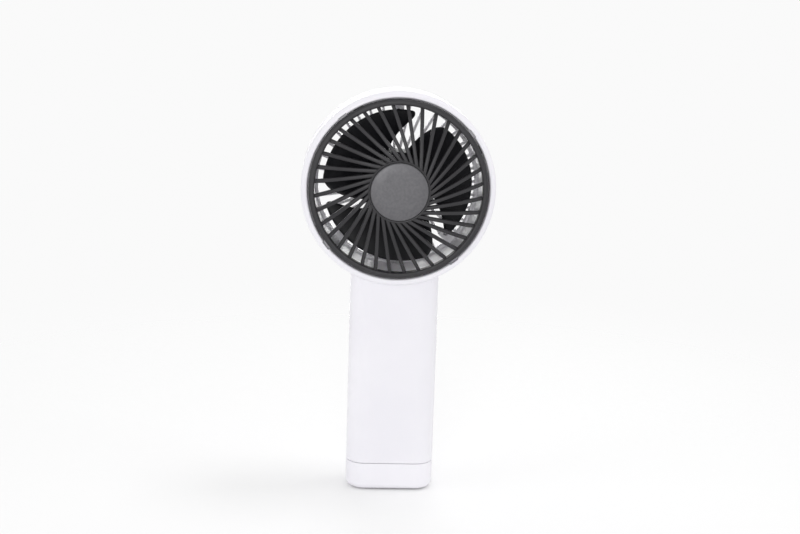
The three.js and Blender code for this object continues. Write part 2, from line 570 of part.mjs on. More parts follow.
const VALLEY = 8.6; // the wires run up the valleys between the two round cells
const chargeWire = (x) => wire([x, 3.2, 6.9], [x, 3.9, 10.6], [x, VALLEY - 1, 12.5], [x, VALLEY, 20],
  [x, VALLEY, 50], [x, VALLEY, 79], [x, 6, 84.2], [x, 2.3, 84.7], [x, 2.3, 88]);
place(fan, "charge_wire_red", chargeWire(-1), WIRE_RED);
place(fan, "charge_wire_black", chargeWire(1), WIRE_BLACK);
place(fan, "battery_wire_red", wire([8, 0, 84], [8, -1.6, 85.6], [8, 0.4, 88], [8, 2.3, 89]), WIRE_RED);
place(fan, "battery_wire_black", wire([0, -2, 16.9], [0, -6, 16.9], [0, -VALLEY, 20], [0, -VALLEY, 50],
  [0, -VALLEY, 79], [-4, -5, 85.5], [-6, 0, 87], [-6, 2.3, 89]), WIRE_BLACK);

export default fan;
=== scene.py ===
# %% [markdown]
# # A handheld electric fan, built piece by piece
# The fan is a round ducted head on a wide flat handle. A dark swirl grille twists off the front, a black
# three-blade wheel turns behind it, and the handle holds two round cells and stands on its own foot.
# The working model comes in first. It fixes where everything is, so each finer piece below takes its place
# and size from it.

# %% Load the working model
import math

import bpy
from mathutils import Matrix, Vector


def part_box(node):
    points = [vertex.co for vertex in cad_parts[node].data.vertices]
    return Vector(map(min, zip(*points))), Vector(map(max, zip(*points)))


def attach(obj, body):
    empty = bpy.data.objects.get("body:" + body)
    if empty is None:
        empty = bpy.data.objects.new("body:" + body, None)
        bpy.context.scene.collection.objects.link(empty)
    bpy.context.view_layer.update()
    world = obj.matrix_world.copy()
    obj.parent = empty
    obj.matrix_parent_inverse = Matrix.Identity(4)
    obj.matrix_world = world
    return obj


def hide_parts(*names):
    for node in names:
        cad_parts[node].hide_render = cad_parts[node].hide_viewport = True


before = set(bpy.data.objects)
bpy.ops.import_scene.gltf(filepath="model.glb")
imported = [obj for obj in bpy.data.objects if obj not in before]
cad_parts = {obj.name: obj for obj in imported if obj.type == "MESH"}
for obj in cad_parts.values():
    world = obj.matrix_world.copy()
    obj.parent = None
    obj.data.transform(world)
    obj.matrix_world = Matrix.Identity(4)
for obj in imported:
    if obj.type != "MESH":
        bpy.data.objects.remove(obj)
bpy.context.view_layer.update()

# %% [markdown]
# The main sizes are read off the working model's boxes. The fan's axis lies along Y, with the front at the
# low end. A few moulding sizes, such as wall thickness and the small roundings on edges, are named here too.

# %% Main sizes, in metres
MM = 0.001
shell_low, shell_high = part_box("front_shell")
rear_low, rear_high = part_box("rear_shell")
cap_low, cap_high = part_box("base_cap")
grille_low, grille_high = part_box("front_grille")
badge_low, badge_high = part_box("hub_badge")

HEAD_R = shell_high[0]
AXIS_Z = shell_high[2] - HEAD_R
LIP_Y = shell_low[1]
SEAM_Y = rear_low[1]
HEAD_REAR_Y = rear_high[1]
SHELL_BOTTOM = shell_low[2]
HALF_W = cap_high[0]
HALF_T = cap_high[1]
FACE_Y = -19 * MM
DUCT_R = 38.8 * MM
WALL = 1.8 * MM
CORNER = 9 * MM
CORNER_STEPS = 18
THROUGH = 20 * MM
SOFT_EDGE = 0.14 * MM
FRONT_ROUND = 2.3 * MM
REAR_ROUND = 4.5 * MM
SEAT_Y = -14.4 * MM
LIP_R = 41.8 * MM
HANDLE_TOP = 112 * MM
FLOOR_TOP = 15.5 * MM
print("head radius", round(HEAD_R / MM, 2), "mm, axis height", round(AXIS_Z / MM, 2), "mm")

# %% [markdown]
# Most of the head is turned work. A lathe operator steps a tool along the axis and sets the radius at each
# step. Here a circle is extruded along the axis and resized at each step, which does the same thing.
# A closed profile comes back to its first ring, and an open one has its two ends filled.

# %% Helpers: blocks and turned pieces
def finished(name):
    """Names the piece in hand, and closes and orients its skin."""
    piece = bpy.context.object
    bpy.ops.object.mode_set(mode="EDIT")
    bpy.ops.mesh.select_all(action="SELECT")
    bpy.ops.mesh.remove_doubles(threshold=1e-6)
    bpy.ops.mesh.select_mode(type="VERT")
    bpy.ops.mesh.fill_holes(sides=0)
    bpy.ops.mesh.select_all(action="SELECT")
    bpy.ops.mesh.normals_make_consistent(inside=False)
    bpy.ops.object.mode_set(mode="OBJECT")
    piece.name = name
    return piece


def turned(name, profile, sides=144, centre=(0, 0)):
    """A profile of (radius, y) steps swept round a line along Y through centre, an (x, z) pair."""
    x, z = centre[0], centre[1] or AXIS_Z
    radius, y = profile[0]
    bpy.ops.object.select_all(action="DESELECT")
    bpy.ops.mesh.primitive_circle_add(
        vertices=sides, radius=radius, location=(x, y, z), rotation=(math.pi / 2, 0, 0))
    bpy.ops.object.transform_apply()
    bpy.ops.object.mode_set(mode="EDIT")
    bpy.ops.mesh.select_all(action="SELECT")
    for next_radius, next_y in profile[1:]:
        bpy.ops.mesh.extrude_region_move(TRANSFORM_OT_translate={"value": (0, next_y - y, 0)})
        grow = next_radius / radius
        bpy.ops.transform.resize(value=(grow, 1, grow), center_override=(x, next_y, z))
        radius, y = next_radius, next_y
    bpy.ops.object.mode_set(mode="OBJECT")
    return finished(name)


def arc(radius, y, bend, start, end, steps=6):
    """The profile steps of a rounding of radius bend about (radius, y), between two angles in degrees."""
    angles = [math.radians(start + (end - start) * i / steps) for i in range(steps + 1)]
    return [(radius + bend * math.cos(a), y + bend * math.sin(a)) for a in angles]


def block(name, low, high):
    """A plain block between two corners."""
    middle = [(a + b) / 2 for a, b in zip(low, high)]
    size = [b - a for a, b in zip(low, high)]
    bpy.ops.object.select_all(action="DESELECT")
    bpy.ops.mesh.primitive_cube_add(size=1, location=middle)
    bpy.context.object.scale = size
    bpy.ops.object.transform_apply()
    bpy.context.object.name = name
    return bpy.context.object


# %% [markdown]
# Moulded edges are never sharp. Edges are chosen by where their two ends are, and bevelled. Pieces are
# joined and hollowed with the Boolean modifier, applied at once, as a bench cut is final.

# %% Helpers: rounding, joining and cutting
def round_edges(piece, wanted, width, segments=3):
    """Bevels the edges whose two ends satisfy wanted(a, b)."""
    bpy.ops.object.select_all(action="DESELECT")
    bpy.context.view_layer.objects.active = piece
    bpy.ops.object.mode_set(mode="EDIT")
    bpy.ops.mesh.select_mode(type="EDGE")
    bpy.ops.mesh.select_all(action="DESELECT")
    bpy.ops.object.mode_set(mode="OBJECT")
    points = piece.data.vertices
    for edge in piece.data.edges:
        edge.select = wanted(*(points[i].co for i in edge.vertices))
    bpy.ops.object.mode_set(mode="EDIT")
    bpy.ops.mesh.bevel(offset=width, segments=segments, affect="EDGES", clamp_overlap=True)
    bpy.ops.object.mode_set(mode="OBJECT")


def near(value, target):
    return abs(value - target) < 1e-5


def upright(a, b):
    """True for the upright edges of a block."""
    return not near(a.z, b.z)


def along_y(a, b):
    """True for the edges of a block that run from front to back."""
    return not near(a.y, b.y)


def level_at(z):
    """Picks the edges that lie at this height."""
    return lambda a, b: near(a.z, z) and near(b.z, z)


def worked(piece, tool, operation):
    """Applies one Boolean modifier with the tool and throws the tool away."""
    step = piece.modifiers.new("work", "BOOLEAN")
    step.operation, step.object, step.solver = operation, tool, "MANIFOLD"
    bpy.context.view_layer.objects.active = piece
    bpy.ops.object.modifier_apply(modifier=step.name)
    bpy.data.objects.remove(tool)


def join_to(piece, *tools):
    for tool in tools:
        worked(piece, tool, "UNION")


def cut_from(piece, *tools):
    for tool in tools:
        worked(piece, tool, "DIFFERENCE")


def turned_copy(piece, degrees, name):
    """A copy with its own mesh, turned round the fan's axis, counter-clockwise seen from the front."""
    copy = piece.copy()
    copy.data = piece.data.copy()
    copy.name = name
    to_axis = Matrix.Translation((0, 0, AXIS_Z))
    copy.data.transform(to_axis @ Matrix.Rotation(-math.radians(degrees), 4, "Y") @ to_axis.inverted())
    bpy.context.scene.collection.objects.link(copy)
    return copy


def gathered(name, pieces):
    """Joins separate pieces into one object."""
    bpy.ops.object.select_all(action="DESELECT")
    for piece in pieces:
        piece.select_set(True)
    bpy.context.view_layer.objects.active = pieces[0]
    bpy.ops.object.join()
    pieces[0].name = name
    return pieces[0]


def smoothed(piece, degrees=32):
    """Smooth shading that keeps the edges sharper than this angle."""
    bpy.ops.object.select_all(action="DESELECT")
    piece.select_set(True)
    bpy.context.view_layer.objects.active = piece
    bpy.ops.object.shade_smooth_by_angle(angle=math.radians(degrees))


# %% [markdown]
# ## The two casing halves
# Each half is one moulding: the rim of the head and half of the handle. The outside is a turned drum and
# an upright block with wide rounded corners, joined. The block's edges at the parting line and at its foot
# get a small rounding, so the seams read as fine soft lines.

# %% Outside of a casing half
def handle_half(name, flat_y, seam_y):
    """Half of the handle, from its flat face to the parting line."""
    low = (-HALF_W, min(flat_y, seam_y), SHELL_BOTTOM)
    high = (HALF_W, max(flat_y, seam_y), HANDLE_TOP)
    half = block(name, low, high)

    def upright_at(y):
        return lambda a, b: near(a.y, y) and near(b.y, y) and not near(a.z, b.z)

    round_edges(half, upright_at(flat_y), CORNER, CORNER_STEPS)
    round_edges(half, upright_at(seam_y), SOFT_EDGE)
    round_edges(half, level_at(SHELL_BOTTOM), SOFT_EDGE)
    return half


INSIDE_R = 20 * MM

front_casing = turned("front_casing", [
    (INSIDE_R, LIP_Y),
    *arc(HEAD_R - FRONT_ROUND, LIP_Y + FRONT_ROUND, FRONT_ROUND, -90, 0, 10),
    *arc(HEAD_R - SOFT_EDGE, -SEAM_Y - SOFT_EDGE, SOFT_EDGE, 0, 90, 3),
    (INSIDE_R, -SEAM_Y),
])
join_to(front_casing, handle_half("front_handle", -HALF_T, -SEAM_Y))

rear_casing = turned("rear_casing", [
    (INSIDE_R, SEAM_Y),
    *arc(HEAD_R - SOFT_EDGE, SEAM_Y + SOFT_EDGE, SOFT_EDGE, -90, 0, 3),
    *arc(HEAD_R - REAR_ROUND, HEAD_REAR_Y - REAR_ROUND, REAR_ROUND, 0, 90, 12),
    (INSIDE_R, HEAD_REAR_Y),
])
join_to(rear_casing, handle_half("rear_handle", HALF_T, SEAM_Y))
print("casing halves:", len(front_casing.data.polygons), "and", len(rear_casing.data.polygons), "faces")

# %% [markdown]
# Inside, the casing is a thin wall. A ring-shaped space lies between the duct and the rim, and it opens
# into the handle's hollow, where the cells and the boards are. The same cutters serve both halves. The
# grille's seat in the front half is turned out, and its curve rounds the inner edge of the lip.

# %% Hollow out the halves
REAR_WALL = 2.2 * MM


def hollow_tools():
    """Cutters for the handle's hollow and for the space round the duct."""
    low = (WALL - HALF_W, WALL - HALF_T, FLOOR_TOP)
    hollow = block("hollow", low, (HALF_W - WALL, HALF_T - WALL, HANDLE_TOP))
    round_edges(hollow, upright, CORNER - WALL, 8)
    cut_from(hollow, turned("duct_wall", [(DUCT_R + WALL, -THROUGH), (DUCT_R + WALL, THROUGH)]))
    inner, outer = DUCT_R + WALL, HEAD_R - WALL
    front, back = SEAT_Y + WALL, HEAD_REAR_Y - REAR_WALL
    jacket = turned("jacket", [(inner, front), (outer, front), (outer, back), (inner, back), (inner, front)])
    return jacket, hollow


def sector(name, radii, ys, degrees, steps=6):
    """A piece of a ring: a flat face spun about the axis between two angles, given in degrees."""
    start, end = degrees
    middle = [sum(radii) / 2, sum(ys) / 2, AXIS_Z]
    bpy.ops.object.select_all(action="DESELECT")
    bpy.ops.mesh.primitive_plane_add(size=1, location=middle)
    bpy.context.object.scale = (radii[1] - radii[0], ys[1] - ys[0], 1)
    bpy.ops.object.transform_apply()
    bpy.ops.object.mode_set(mode="EDIT")
    bpy.ops.mesh.select_all(action="SELECT")
    bpy.ops.mesh.spin(steps=steps, angle=math.radians(end - start), center=(0, 0, AXIS_Z), axis=(0, -1, 0))
    bpy.ops.object.mode_set(mode="OBJECT")
    piece = finished(name)
    to_axis = Matrix.Translation((0, 0, AXIS_Z))
    piece.data.transform(to_axis @ Matrix.Rotation(-math.radians(start), 4, "Y") @ to_axis.inverted())
    return piece


LIP_FALL = 2 * MM
LIP_STEPS = 8
SEAT_EASE = 0.3 * MM
LEDGE = (6.9 * MM, 9.2 * MM)
lip_curve = []
for step in range(LIP_STEPS + 1):
    lean = math.radians(90 - 90 * step / LIP_STEPS)
    lip_curve.append((LIP_R + (HEAD_R - FRONT_ROUND - LIP_R) * (1 - math.cos(lean)),
                      LIP_Y + LIP_FALL * (1 - math.sin(lean))))
seat = turned("seat", [
    (HEAD_R - FRONT_ROUND, LIP_Y - 1 * MM),
    *lip_curve,
    (LIP_R, SEAT_Y),
    (DUCT_R + SEAT_EASE, SEAT_Y), (DUCT_R, SEAT_Y + SEAT_EASE), (DUCT_R, 1 * MM)])
cut_from(front_casing, *hollow_tools(), seat)

bore = turned("bore", [(DUCT_R, -1 * MM), (DUCT_R, LEDGE[1]), (DUCT_R, THROUGH)])
cut_from(rear_casing, *hollow_tools(), bore)
print("hollowed:", len(front_casing.data.polygons), "and", len(rear_casing.data.polygons), "faces")

# %% [markdown]
# The grille locks with a short twist. Four slots in the lip let its lugs in from the front, and a groove
# runs on from each slot, behind the lip, for the lug to turn into.

# %% Lock slots and grooves
GROOVE_Y = (-16.5 * MM, SEAT_Y)
SLOT_R, GROOVE_R = 42.7 * MM, 42.9 * MM
SLOT_ANGLES = (45, 135, 225, 315)
SLOT_HALF, GROOVE_HALF = 3, 3.1
LOCK_TURN = 12
for angle in SLOT_ANGLES:
    mouth = sector("slot", (LIP_R - 1 * MM, SLOT_R), (LIP_Y - 1 * MM, SEAT_Y),
                   (angle - SLOT_HALF, angle + SLOT_HALF))
    groove = sector("groove", (LIP_R - 1 * MM, GROOVE_R), GROOVE_Y,
                    (angle - LOCK_TURN - GROOVE_HALF, angle + SLOT_HALF))
    cut_from(front_casing, mouth, groove)
print("lock slots:", len(SLOT_ANGLES))

# %% [markdown]
# The rear half carries the working details: a ledge and three pads that the rear guard is screwed to, the
# screw bosses with their sunk holes, the round hole of the button, and four small holes for the level
# lights. The front half has the two bosses that the case screws bite into.

# %% Bosses and holes
BOSS_R, SCREW_HEAD_R, SUNK_Y = 2.6 * MM, 2.2 * MM, 10.1 * MM
POST_R = 2.2 * MM
PILOT_R, CLEAR_R = 1 * MM, 1.1 * MM
BUTTON_HOLE_R, LIGHT_HOLE_R = 6.15 * MM, 1.1 * MM
PAD_HALF, PAD_OUT = 2.6 * MM, 4.6 * MM
OUT_BACK = 14 * MM
BOSS_X, BOSS_Z = 14.5 * MM, 103 * MM
BOARD_X, BOARD_Z = 9 * MM, 101.5 * MM
button_low, button_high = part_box("power_button")
BUTTON_Z = (button_low[2] + button_high[2]) / 2
light_boxes = [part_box(f"level_light_{i + 1}") for i in range(4)]
LIGHT_XS = [(low[0] + high[0]) / 2 for low, high in light_boxes]
LIGHT_Z = (light_boxes[0][0][2] + light_boxes[0][1][2]) / 2
GUARD_SCREWS = (90, 225, 315)
GUARD_SCREW_R = 34.2 * MM


def rod(name, radius, y0, y1, x, z, sides=32):
    """A plain round bar along Y, used as a boss or as a drill."""
    return turned(name, [(radius, y0), (radius, y1)], sides, (x, z))


for side in (-1, 1):
    x = side * BOSS_X
    join_to(front_casing, rod("boss", BOSS_R, -11 * MM, -SEAM_Y, x, BOSS_Z))
    cut_from(front_casing, rod("drill", PILOT_R, -9 * MM, 1 * MM, x, BOSS_Z))
    join_to(rear_casing, rod("boss", BOSS_R, SEAM_Y, 10.4 * MM, x, BOSS_Z))
    join_to(rear_casing, rod("boss", POST_R, 4.5 * MM, 11 * MM, side * BOARD_X, BOARD_Z))
    cut_from(rear_casing, rod("drill", CLEAR_R, -1 * MM, OUT_BACK, x, BOSS_Z))
    cut_from(rear_casing, rod("counterbore", SCREW_HEAD_R, SUNK_Y, OUT_BACK, x, BOSS_Z, 48))
    cut_from(rear_casing, rod("drill", PILOT_R, 3 * MM, 9 * MM, side * BOARD_X, BOARD_Z))

ledge_inner, ledge_outer = DUCT_R - 1.1 * MM, DUCT_R + 0.5 * MM
ledge = turned("ledge", [(ledge_inner, LEDGE[0]), (ledge_outer, LEDGE[0]), (ledge_outer, LEDGE[1]),
                         (ledge_inner, LEDGE[1]), (ledge_inner, LEDGE[0])])
join_to(rear_casing, ledge)
pad = block("pad", (GUARD_SCREW_R - PAD_HALF, LEDGE[0], AXIS_Z - PAD_HALF),
            (GUARD_SCREW_R + PAD_OUT, LEDGE[1], AXIS_Z + PAD_HALF))
for angle in GUARD_SCREWS:
    join_to(rear_casing, turned_copy(pad, angle, "pad"))
    drill = rod("drill", PILOT_R, 6 * MM, 10 * MM, GUARD_SCREW_R, AXIS_Z)
    cut_from(rear_casing, turned_copy(drill, angle, "drill"))
    bpy.data.objects.remove(drill)
bpy.data.objects.remove(pad)

cut_from(rear_casing, rod("button_hole", BUTTON_HOLE_R, 9 * MM, OUT_BACK, 0, BUTTON_Z, 96))
for x in LIGHT_XS:
    cut_from(rear_casing, rod("light_hole", LIGHT_HOLE_R, 9 * MM, OUT_BACK, x, LIGHT_Z))
cut_from(rear_casing, block("wire_way", (-2.6 * MM, 6.4 * MM, AXIS_Z - 41.5 * MM),
                            (2.6 * MM, 9.4 * MM, AXIS_Z - 36 * MM)))
cut_from(rear_casing, block("charge_way", (-3.5 * MM, 5 * MM, 12 * MM), (3.5 * MM, 10 * MM, 16 * MM)))
for casing in (front_casing, rear_casing):
    smoothed(casing)
    print(casing.name, len(casing.data.polygons), "faces")

# %% [markdown]
# ## The base cap and the foot
# A separate cap closes the foot of the handle. Its upright corners match the handle's, its lower edge is
# well rounded, and a rubber pad sits in a recess under it. The charging socket opens through its rear wall.

# %% Base cap
FOOT_ROUND = 3.2 * MM
CAP_FLOOR = 3.3 * MM
RECESS_X, RECESS_Y = 17.3 * MM, 8.8 * MM
RECESS_DEEP, RECESS_CORNER = 1.5 * MM, 6.3 * MM
MOUTH_X, MOUTH_Z = 4.75 * MM, 1.9 * MM
base_end_cap = block("base_end_cap", cap_low, cap_high)
round_edges(base_end_cap, upright, CORNER, CORNER_STEPS)
round_edges(base_end_cap, level_at(cap_low[2]), FOOT_ROUND, 8)
round_edges(base_end_cap, level_at(cap_high[2]), SOFT_EDGE)
room = block("room", (WALL - HALF_W, WALL - HALF_T, CAP_FLOOR), (HALF_W - WALL, HALF_T - WALL, 20 * MM))
round_edges(room, upright, CORNER - WALL, 8)
cut_from(base_end_cap, room)
recess = block("recess", (-RECESS_X, -RECESS_Y, -1 * MM), (RECESS_X, RECESS_Y, RECESS_DEEP))
round_edges(recess, upright, RECESS_CORNER, 10)
cut_from(base_end_cap, recess)

usb_low, usb_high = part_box("usb_port")
USB_Z = (usb_low[2] + usb_high[2]) / 2
mouth = block("mouth", (-MOUTH_X, 8 * MM, USB_Z - MOUTH_Z), (MOUTH_X, OUT_BACK, USB_Z + MOUTH_Z))
round_edges(mouth, along_y, 1.85 * MM, 8)
cut_from(base_end_cap, mouth)
smoothed(base_end_cap)
print("base cap:", len(base_end_cap.data.polygons), "faces")

# %% [markdown]
# The pad is soft rubber with shallow straight grip grooves across it, so the fan does not slide.

# %% Foot pad
pad_low, pad_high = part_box("foot_pad")
GROOVE_PITCH = 2.4 * MM
GROOVES = 13
GROOVE_HALF_W, GROOVE_REACH, GROOVE_DEEP = 0.35 * MM, 6.5 * MM, 0.3 * MM
foot_rubber = block("foot_rubber", pad_low, pad_high)
round_edges(foot_rubber, upright, 6 * MM, 10)
round_edges(foot_rubber, level_at(pad_low[2]), 0.2 * MM, 2)
for i in range(GROOVES):
    x = (i - (GROOVES - 1) / 2) * GROOVE_PITCH
    grip_low = (x - GROOVE_HALF_W, -GROOVE_REACH, -1 * MM)
    cut_from(foot_rubber, block("grip", grip_low, (x + GROOVE_HALF_W, GROOVE_REACH, GROOVE_DEEP)))
smoothed(foot_rubber)
print("foot pad with", GROOVES, "grooves")

# %% [markdown]
# ## The swirl grille
# The grille is one dark moulding: an outer ring, a cup at the hub, and straight bars between them. The
# ring and the cup are turned, and the front of the cup is recessed for the hub disc.

# %% Ring and hub cup of the grille
RING_INNER, RING_OUTER = 38.7 * MM, grille_high[0]
RING_REAR = grille_high[1]
CUP_R = 14.3 * MM
CUP_FRONT = grille_low[1]
CUP_REAR = -22.2 * MM
CUP_DEEP, CUP_SOFT = 1.2 * MM, 0.45 * MM
BADGE_R = badge_high[0]
BADGE_GAP = 0.2 * MM
INNER_SOFT, OUTER_SOFT = 0.7 * MM, 1.2 * MM
ring_profile = [
    *arc(RING_INNER + INNER_SOFT, FACE_Y + INNER_SOFT, INNER_SOFT, 180, 270, 5),
    *arc(RING_OUTER - OUTER_SOFT, FACE_Y + OUTER_SOFT, OUTER_SOFT, 270, 360, 8),
    (RING_OUTER, RING_REAR), (RING_INNER, RING_REAR), (RING_INNER, FACE_Y + INNER_SOFT)]
grille_ring = turned("grille_ring", ring_profile, 180)
hub_cup = turned("hub_cup", [
    (2 * MM, CUP_FRONT + CUP_DEEP), (BADGE_R + BADGE_GAP, CUP_FRONT + CUP_DEEP),
    (BADGE_R + BADGE_GAP, CUP_FRONT + BADGE_GAP),
    *arc(CUP_R - CUP_SOFT, CUP_FRONT + CUP_SOFT, CUP_SOFT, -90, 0, 4),
    (CUP_R, -22.4 * MM), (CUP_R - 0.2 * MM, CUP_REAR), (2 * MM, CUP_REAR)], 96)
print("ring and hub cup of the grille turned")

# %% [markdown]
# The bars all touch the same small circle about the axis, so they sweep round as they go out. Each follows
# a shallow dome. One bar is extruded along its run, its two front edges are rounded, and it is copied round
# the axis. Four lugs on the ring fit the grooves behind the lip.

# %% The bars of the grille
SPOKES = 36
SPOKE_PHASE = 9.3
TANGENT_R = 9.2 * MM
SPOKE_W, SPOKE_DEEP = 1.65 * MM, 2.6 * MM
SPOKE_HUB_Y, SPOKE_RIM_Y = -25 * MM, -18.3 * MM
STATIONS = 9


def dome(radius):
    """How far forward the front of a bar lies at this radius."""
    run = max(0, (radius - CUP_R) / (RING_INNER - CUP_R))
    return SPOKE_HUB_Y + (SPOKE_RIM_Y - SPOKE_HUB_Y) * run ** 1.8


def leaning_bar(name, tangent, radii, width, deep, front_at, stations, soft):
    """A straight bar that touches a circle about the axis and follows front_at(radius) along its front."""
    starts = [math.sqrt(r * r - tangent * tangent) for r in radii]
    reach = [starts[0] + (starts[1] - starts[0]) * i / (stations - 1) for i in range(stations)]
    fronts = [front_at(math.hypot(tangent, u)) for u in reach]
    bpy.ops.object.select_all(action="DESELECT")
    bpy.ops.mesh.primitive_plane_add(
        size=1, location=(reach[0], fronts[0] + deep / 2, AXIS_Z - tangent), rotation=(0, math.pi / 2, 0))
    bpy.context.object.scale = (width, deep, 1)
    bpy.ops.object.transform_apply()
    bpy.ops.object.mode_set(mode="EDIT")
    bpy.ops.mesh.select_all(action="SELECT")
    for i in range(1, stations):
        step = (reach[i] - reach[i - 1], fronts[i] - fronts[i - 1], 0)
        bpy.ops.mesh.extrude_region_move(TRANSFORM_OT_translate={"value": step})
    bpy.ops.object.mode_set(mode="OBJECT")
    bar = finished(name)

    def along_front(a, b):
        long = abs(a.x - b.x) > 1e-5
        return long and all(near(p.y, front_at(math.hypot(tangent, p.x))) for p in (a, b))

    round_edges(bar, along_front, soft, 3)
    return bar


def swept_round(bar, count, phase, name):
    """Copies of a piece at equal angles, as one object."""
    copies = [turned_copy(bar, phase + 360 / count * k, name) for k in range(count)]
    bpy.data.objects.remove(bar)
    return gathered(name, copies)


spoke = leaning_bar("spoke", TANGENT_R, (CUP_R - 0.5 * MM, RING_INNER + 1 * MM), SPOKE_W, SPOKE_DEEP, dome,
                    STATIONS, 0.35 * MM)
spokes = swept_round(spoke, SPOKES, SPOKE_PHASE, "spokes")
swirl_grille = gathered("swirl_grille", [grille_ring, hub_cup])
join_to(swirl_grille, spokes)

LUG_Y = (GROOVE_Y[0] + 0.3 * MM, RING_REAR)
LUG_R, LUG_HALF = 42.5 * MM, 2.7
for angle in SLOT_ANGLES:
    middle = angle - LOCK_TURN
    lug = sector("lug", (RING_OUTER - 1 * MM, LUG_R), LUG_Y, (middle - LUG_HALF, middle + LUG_HALF))
    join_to(swirl_grille, lug)
smoothed(swirl_grille, 40)
print("grille:", SPOKES, "bars,", len(swirl_grille.data.polygons), "faces")

# %% [markdown]
# The hub disc is a separate grey trim piece in the cup. It is turned with a very slight crown and a
# rounded edge, which is what catches the thin bright line round it.

# %% Hub disc
hub_disc = turned("hub_disc", [
    (2 * MM, badge_low[1]), (8 * MM, badge_low[1] + 0.03 * MM),
    *arc(BADGE_R - 0.6 * MM, badge_low[1] + 0.75 * MM, 0.6 * MM, -80, 0, 6),
    (BADGE_R, badge_high[1]), (2 * MM, badge_high[1])], 128)
smoothed(hub_disc, 40)
print("hub disc:", len(hub_disc.data.polygons), "faces")

# %% [markdown]
# ## The fan wheel
# Three wide blades sit on a cup that covers the motor. A blade is a free curved sheet: its leading edge is
# at the back and its trailing edge at the front, and both sweep round. That shape comes from a formula, so
# a flat grid is laid out and each of its points is put on the blade by it. The sheet is then given its
# thickness and its edges are softened with a subdivision surface.

# %% Blades and hub of the wheel
WHEEL_HUB_R = 16.5 * MM
MOTOR_ROOM_R, MOTOR_ROOM_Y = 15.2 * MM, -9 * MM
BLADE_R = 35.2 * MM
ROOT_SUNK = 0.8 * MM
HUB_LEAD, HUB_TRAIL = 32, 21.5
BLADE_CAMBER = 1.2 * MM
BLADES = 3
BLADE_PHASE, BLADE_SPAN = 73.5, 104.7
BLADE_FRONT_Y, BLADE_REAR_Y = -11.6 * MM, 5.2 * MM
BLADE_THICK = 1.1 * MM


def blade_point(along, out):
    """A point of the blade's middle sheet: along runs from leading to trailing edge, out from hub to tip."""
    radius = WHEEL_HUB_R - ROOT_SUNK + (BLADE_R - WHEEL_HUB_R + ROOT_SUNK) * out
    inward = max(0, (BLADE_R - radius) / (BLADE_R - WHEEL_HUB_R))
    tip_round = 4 * max(0, out * 5 - 4) ** 2
    lead = BLADE_PHASE + HUB_LEAD * inward ** 1.3 + tip_round
    trail = BLADE_PHASE + BLADE_SPAN + HUB_TRAIL * inward - tip_round
    angle = math.radians(lead + (trail - lead) * along)
    y = BLADE_REAR_Y + (BLADE_FRONT_Y - BLADE_REAR_Y) * along + BLADE_CAMBER * math.sin(math.pi * along)
    return Vector((radius * math.cos(angle), y, AXIS_Z + radius * math.sin(angle)))


bpy.ops.object.select_all(action="DESELECT")
bpy.ops.mesh.primitive_grid_add(x_subdivisions=36, y_subdivisions=14, size=1)
blade = bpy.context.object
for point in blade.data.vertices:
    point.co = blade_point(point.co.x + 0.5, point.co.y + 0.5)
thickness = blade.modifiers.new("thickness", "SOLIDIFY")
thickness.thickness, thickness.offset = BLADE_THICK, 0
soften = blade.modifiers.new("soften", "SUBSURF")
soften.levels = soften.render_levels = 1
for step in (thickness, soften):
    bpy.ops.object.modifier_apply(modifier=step.name)

fan_wheel = turned("fan_wheel", [
    (1.5 * MM, -12.7 * MM), (8 * MM, -12.6 * MM), (12 * MM, -12.3 * MM),
    *arc(13.4 * MM, -9.2 * MM, 3.1 * MM, -80, 0, 8),
    (WHEEL_HUB_R, 5.8 * MM), (WHEEL_HUB_R - 0.2 * MM, 6 * MM), (MOTOR_ROOM_R, 6 * MM),
    (MOTOR_ROOM_R, MOTOR_ROOM_Y), (1.75 * MM, MOTOR_ROOM_Y), (1.75 * MM, -9.9 * MM),
    (1 * MM, -9.9 * MM)], 128)
blades = swept_round(blade, BLADES, 0, "blades")
cut_from(blades, rod("motor_room", MOTOR_ROOM_R, MOTOR_ROOM_Y, 7 * MM, 0, AXIS_Z, 128))
join_to(fan_wheel, blades)
smoothed(fan_wheel, 35)
print("wheel:", BLADES, "blades,", len(fan_wheel.data.polygons), "faces")

# %% [markdown]
# ## The rear guard
# The guard holds the motor and keeps fingers off the blades. It has as many thin vanes as the front has
# bars, but they run almost straight out, which lets the air in freely. A wider rib carries the motor's
# wires down to the handle. It is all white, and shows through the gaps between the blades.

# %% Rear guard
VANES = 36
VANE_PHASE = 8.3
VANE_TANGENT = -2 * MM
VANE_W = 1.2 * MM
VANE_Y = (9.5 * MM, 13.4 * MM)
GUARD_HUB_R = 15.5 * MM
RIM_R, RIM_SOFT = 37.3 * MM, 0.4 * MM
RIB_X, RIB_Y = 2.4 * MM, (9 * MM, 12.5 * MM)
COVER_X = 9 * MM
guard_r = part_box("rear_grille")[1][0]

rim = turned("rim", [
    (RIM_R, VANE_Y[0]), (guard_r, VANE_Y[0]),
    *arc(guard_r - RIM_SOFT, VANE_Y[1] + RIM_SOFT, RIM_SOFT, 0, 90, 3),
    *arc(RIM_R + RIM_SOFT, VANE_Y[1] + RIM_SOFT, RIM_SOFT, 90, 180, 3),
    (RIM_R, VANE_Y[0])])
guard_hub = turned("guard_hub", [
    (1 * MM, 11.4 * MM), (4.4 * MM, 11.4 * MM), (4.4 * MM, 9.5 * MM), (GUARD_HUB_R, 9.5 * MM),
    (GUARD_HUB_R, 12.2 * MM), *arc(GUARD_HUB_R - 1.2 * MM, 12.2 * MM, 1.2 * MM, 0, 90, 5),
    (12 * MM, 13.4 * MM), (11.7 * MM, 13.0 * MM), (11.2 * MM, 13.0 * MM), (10.9 * MM, 13.4 * MM),
    (1 * MM, 13.4 * MM)], 96)
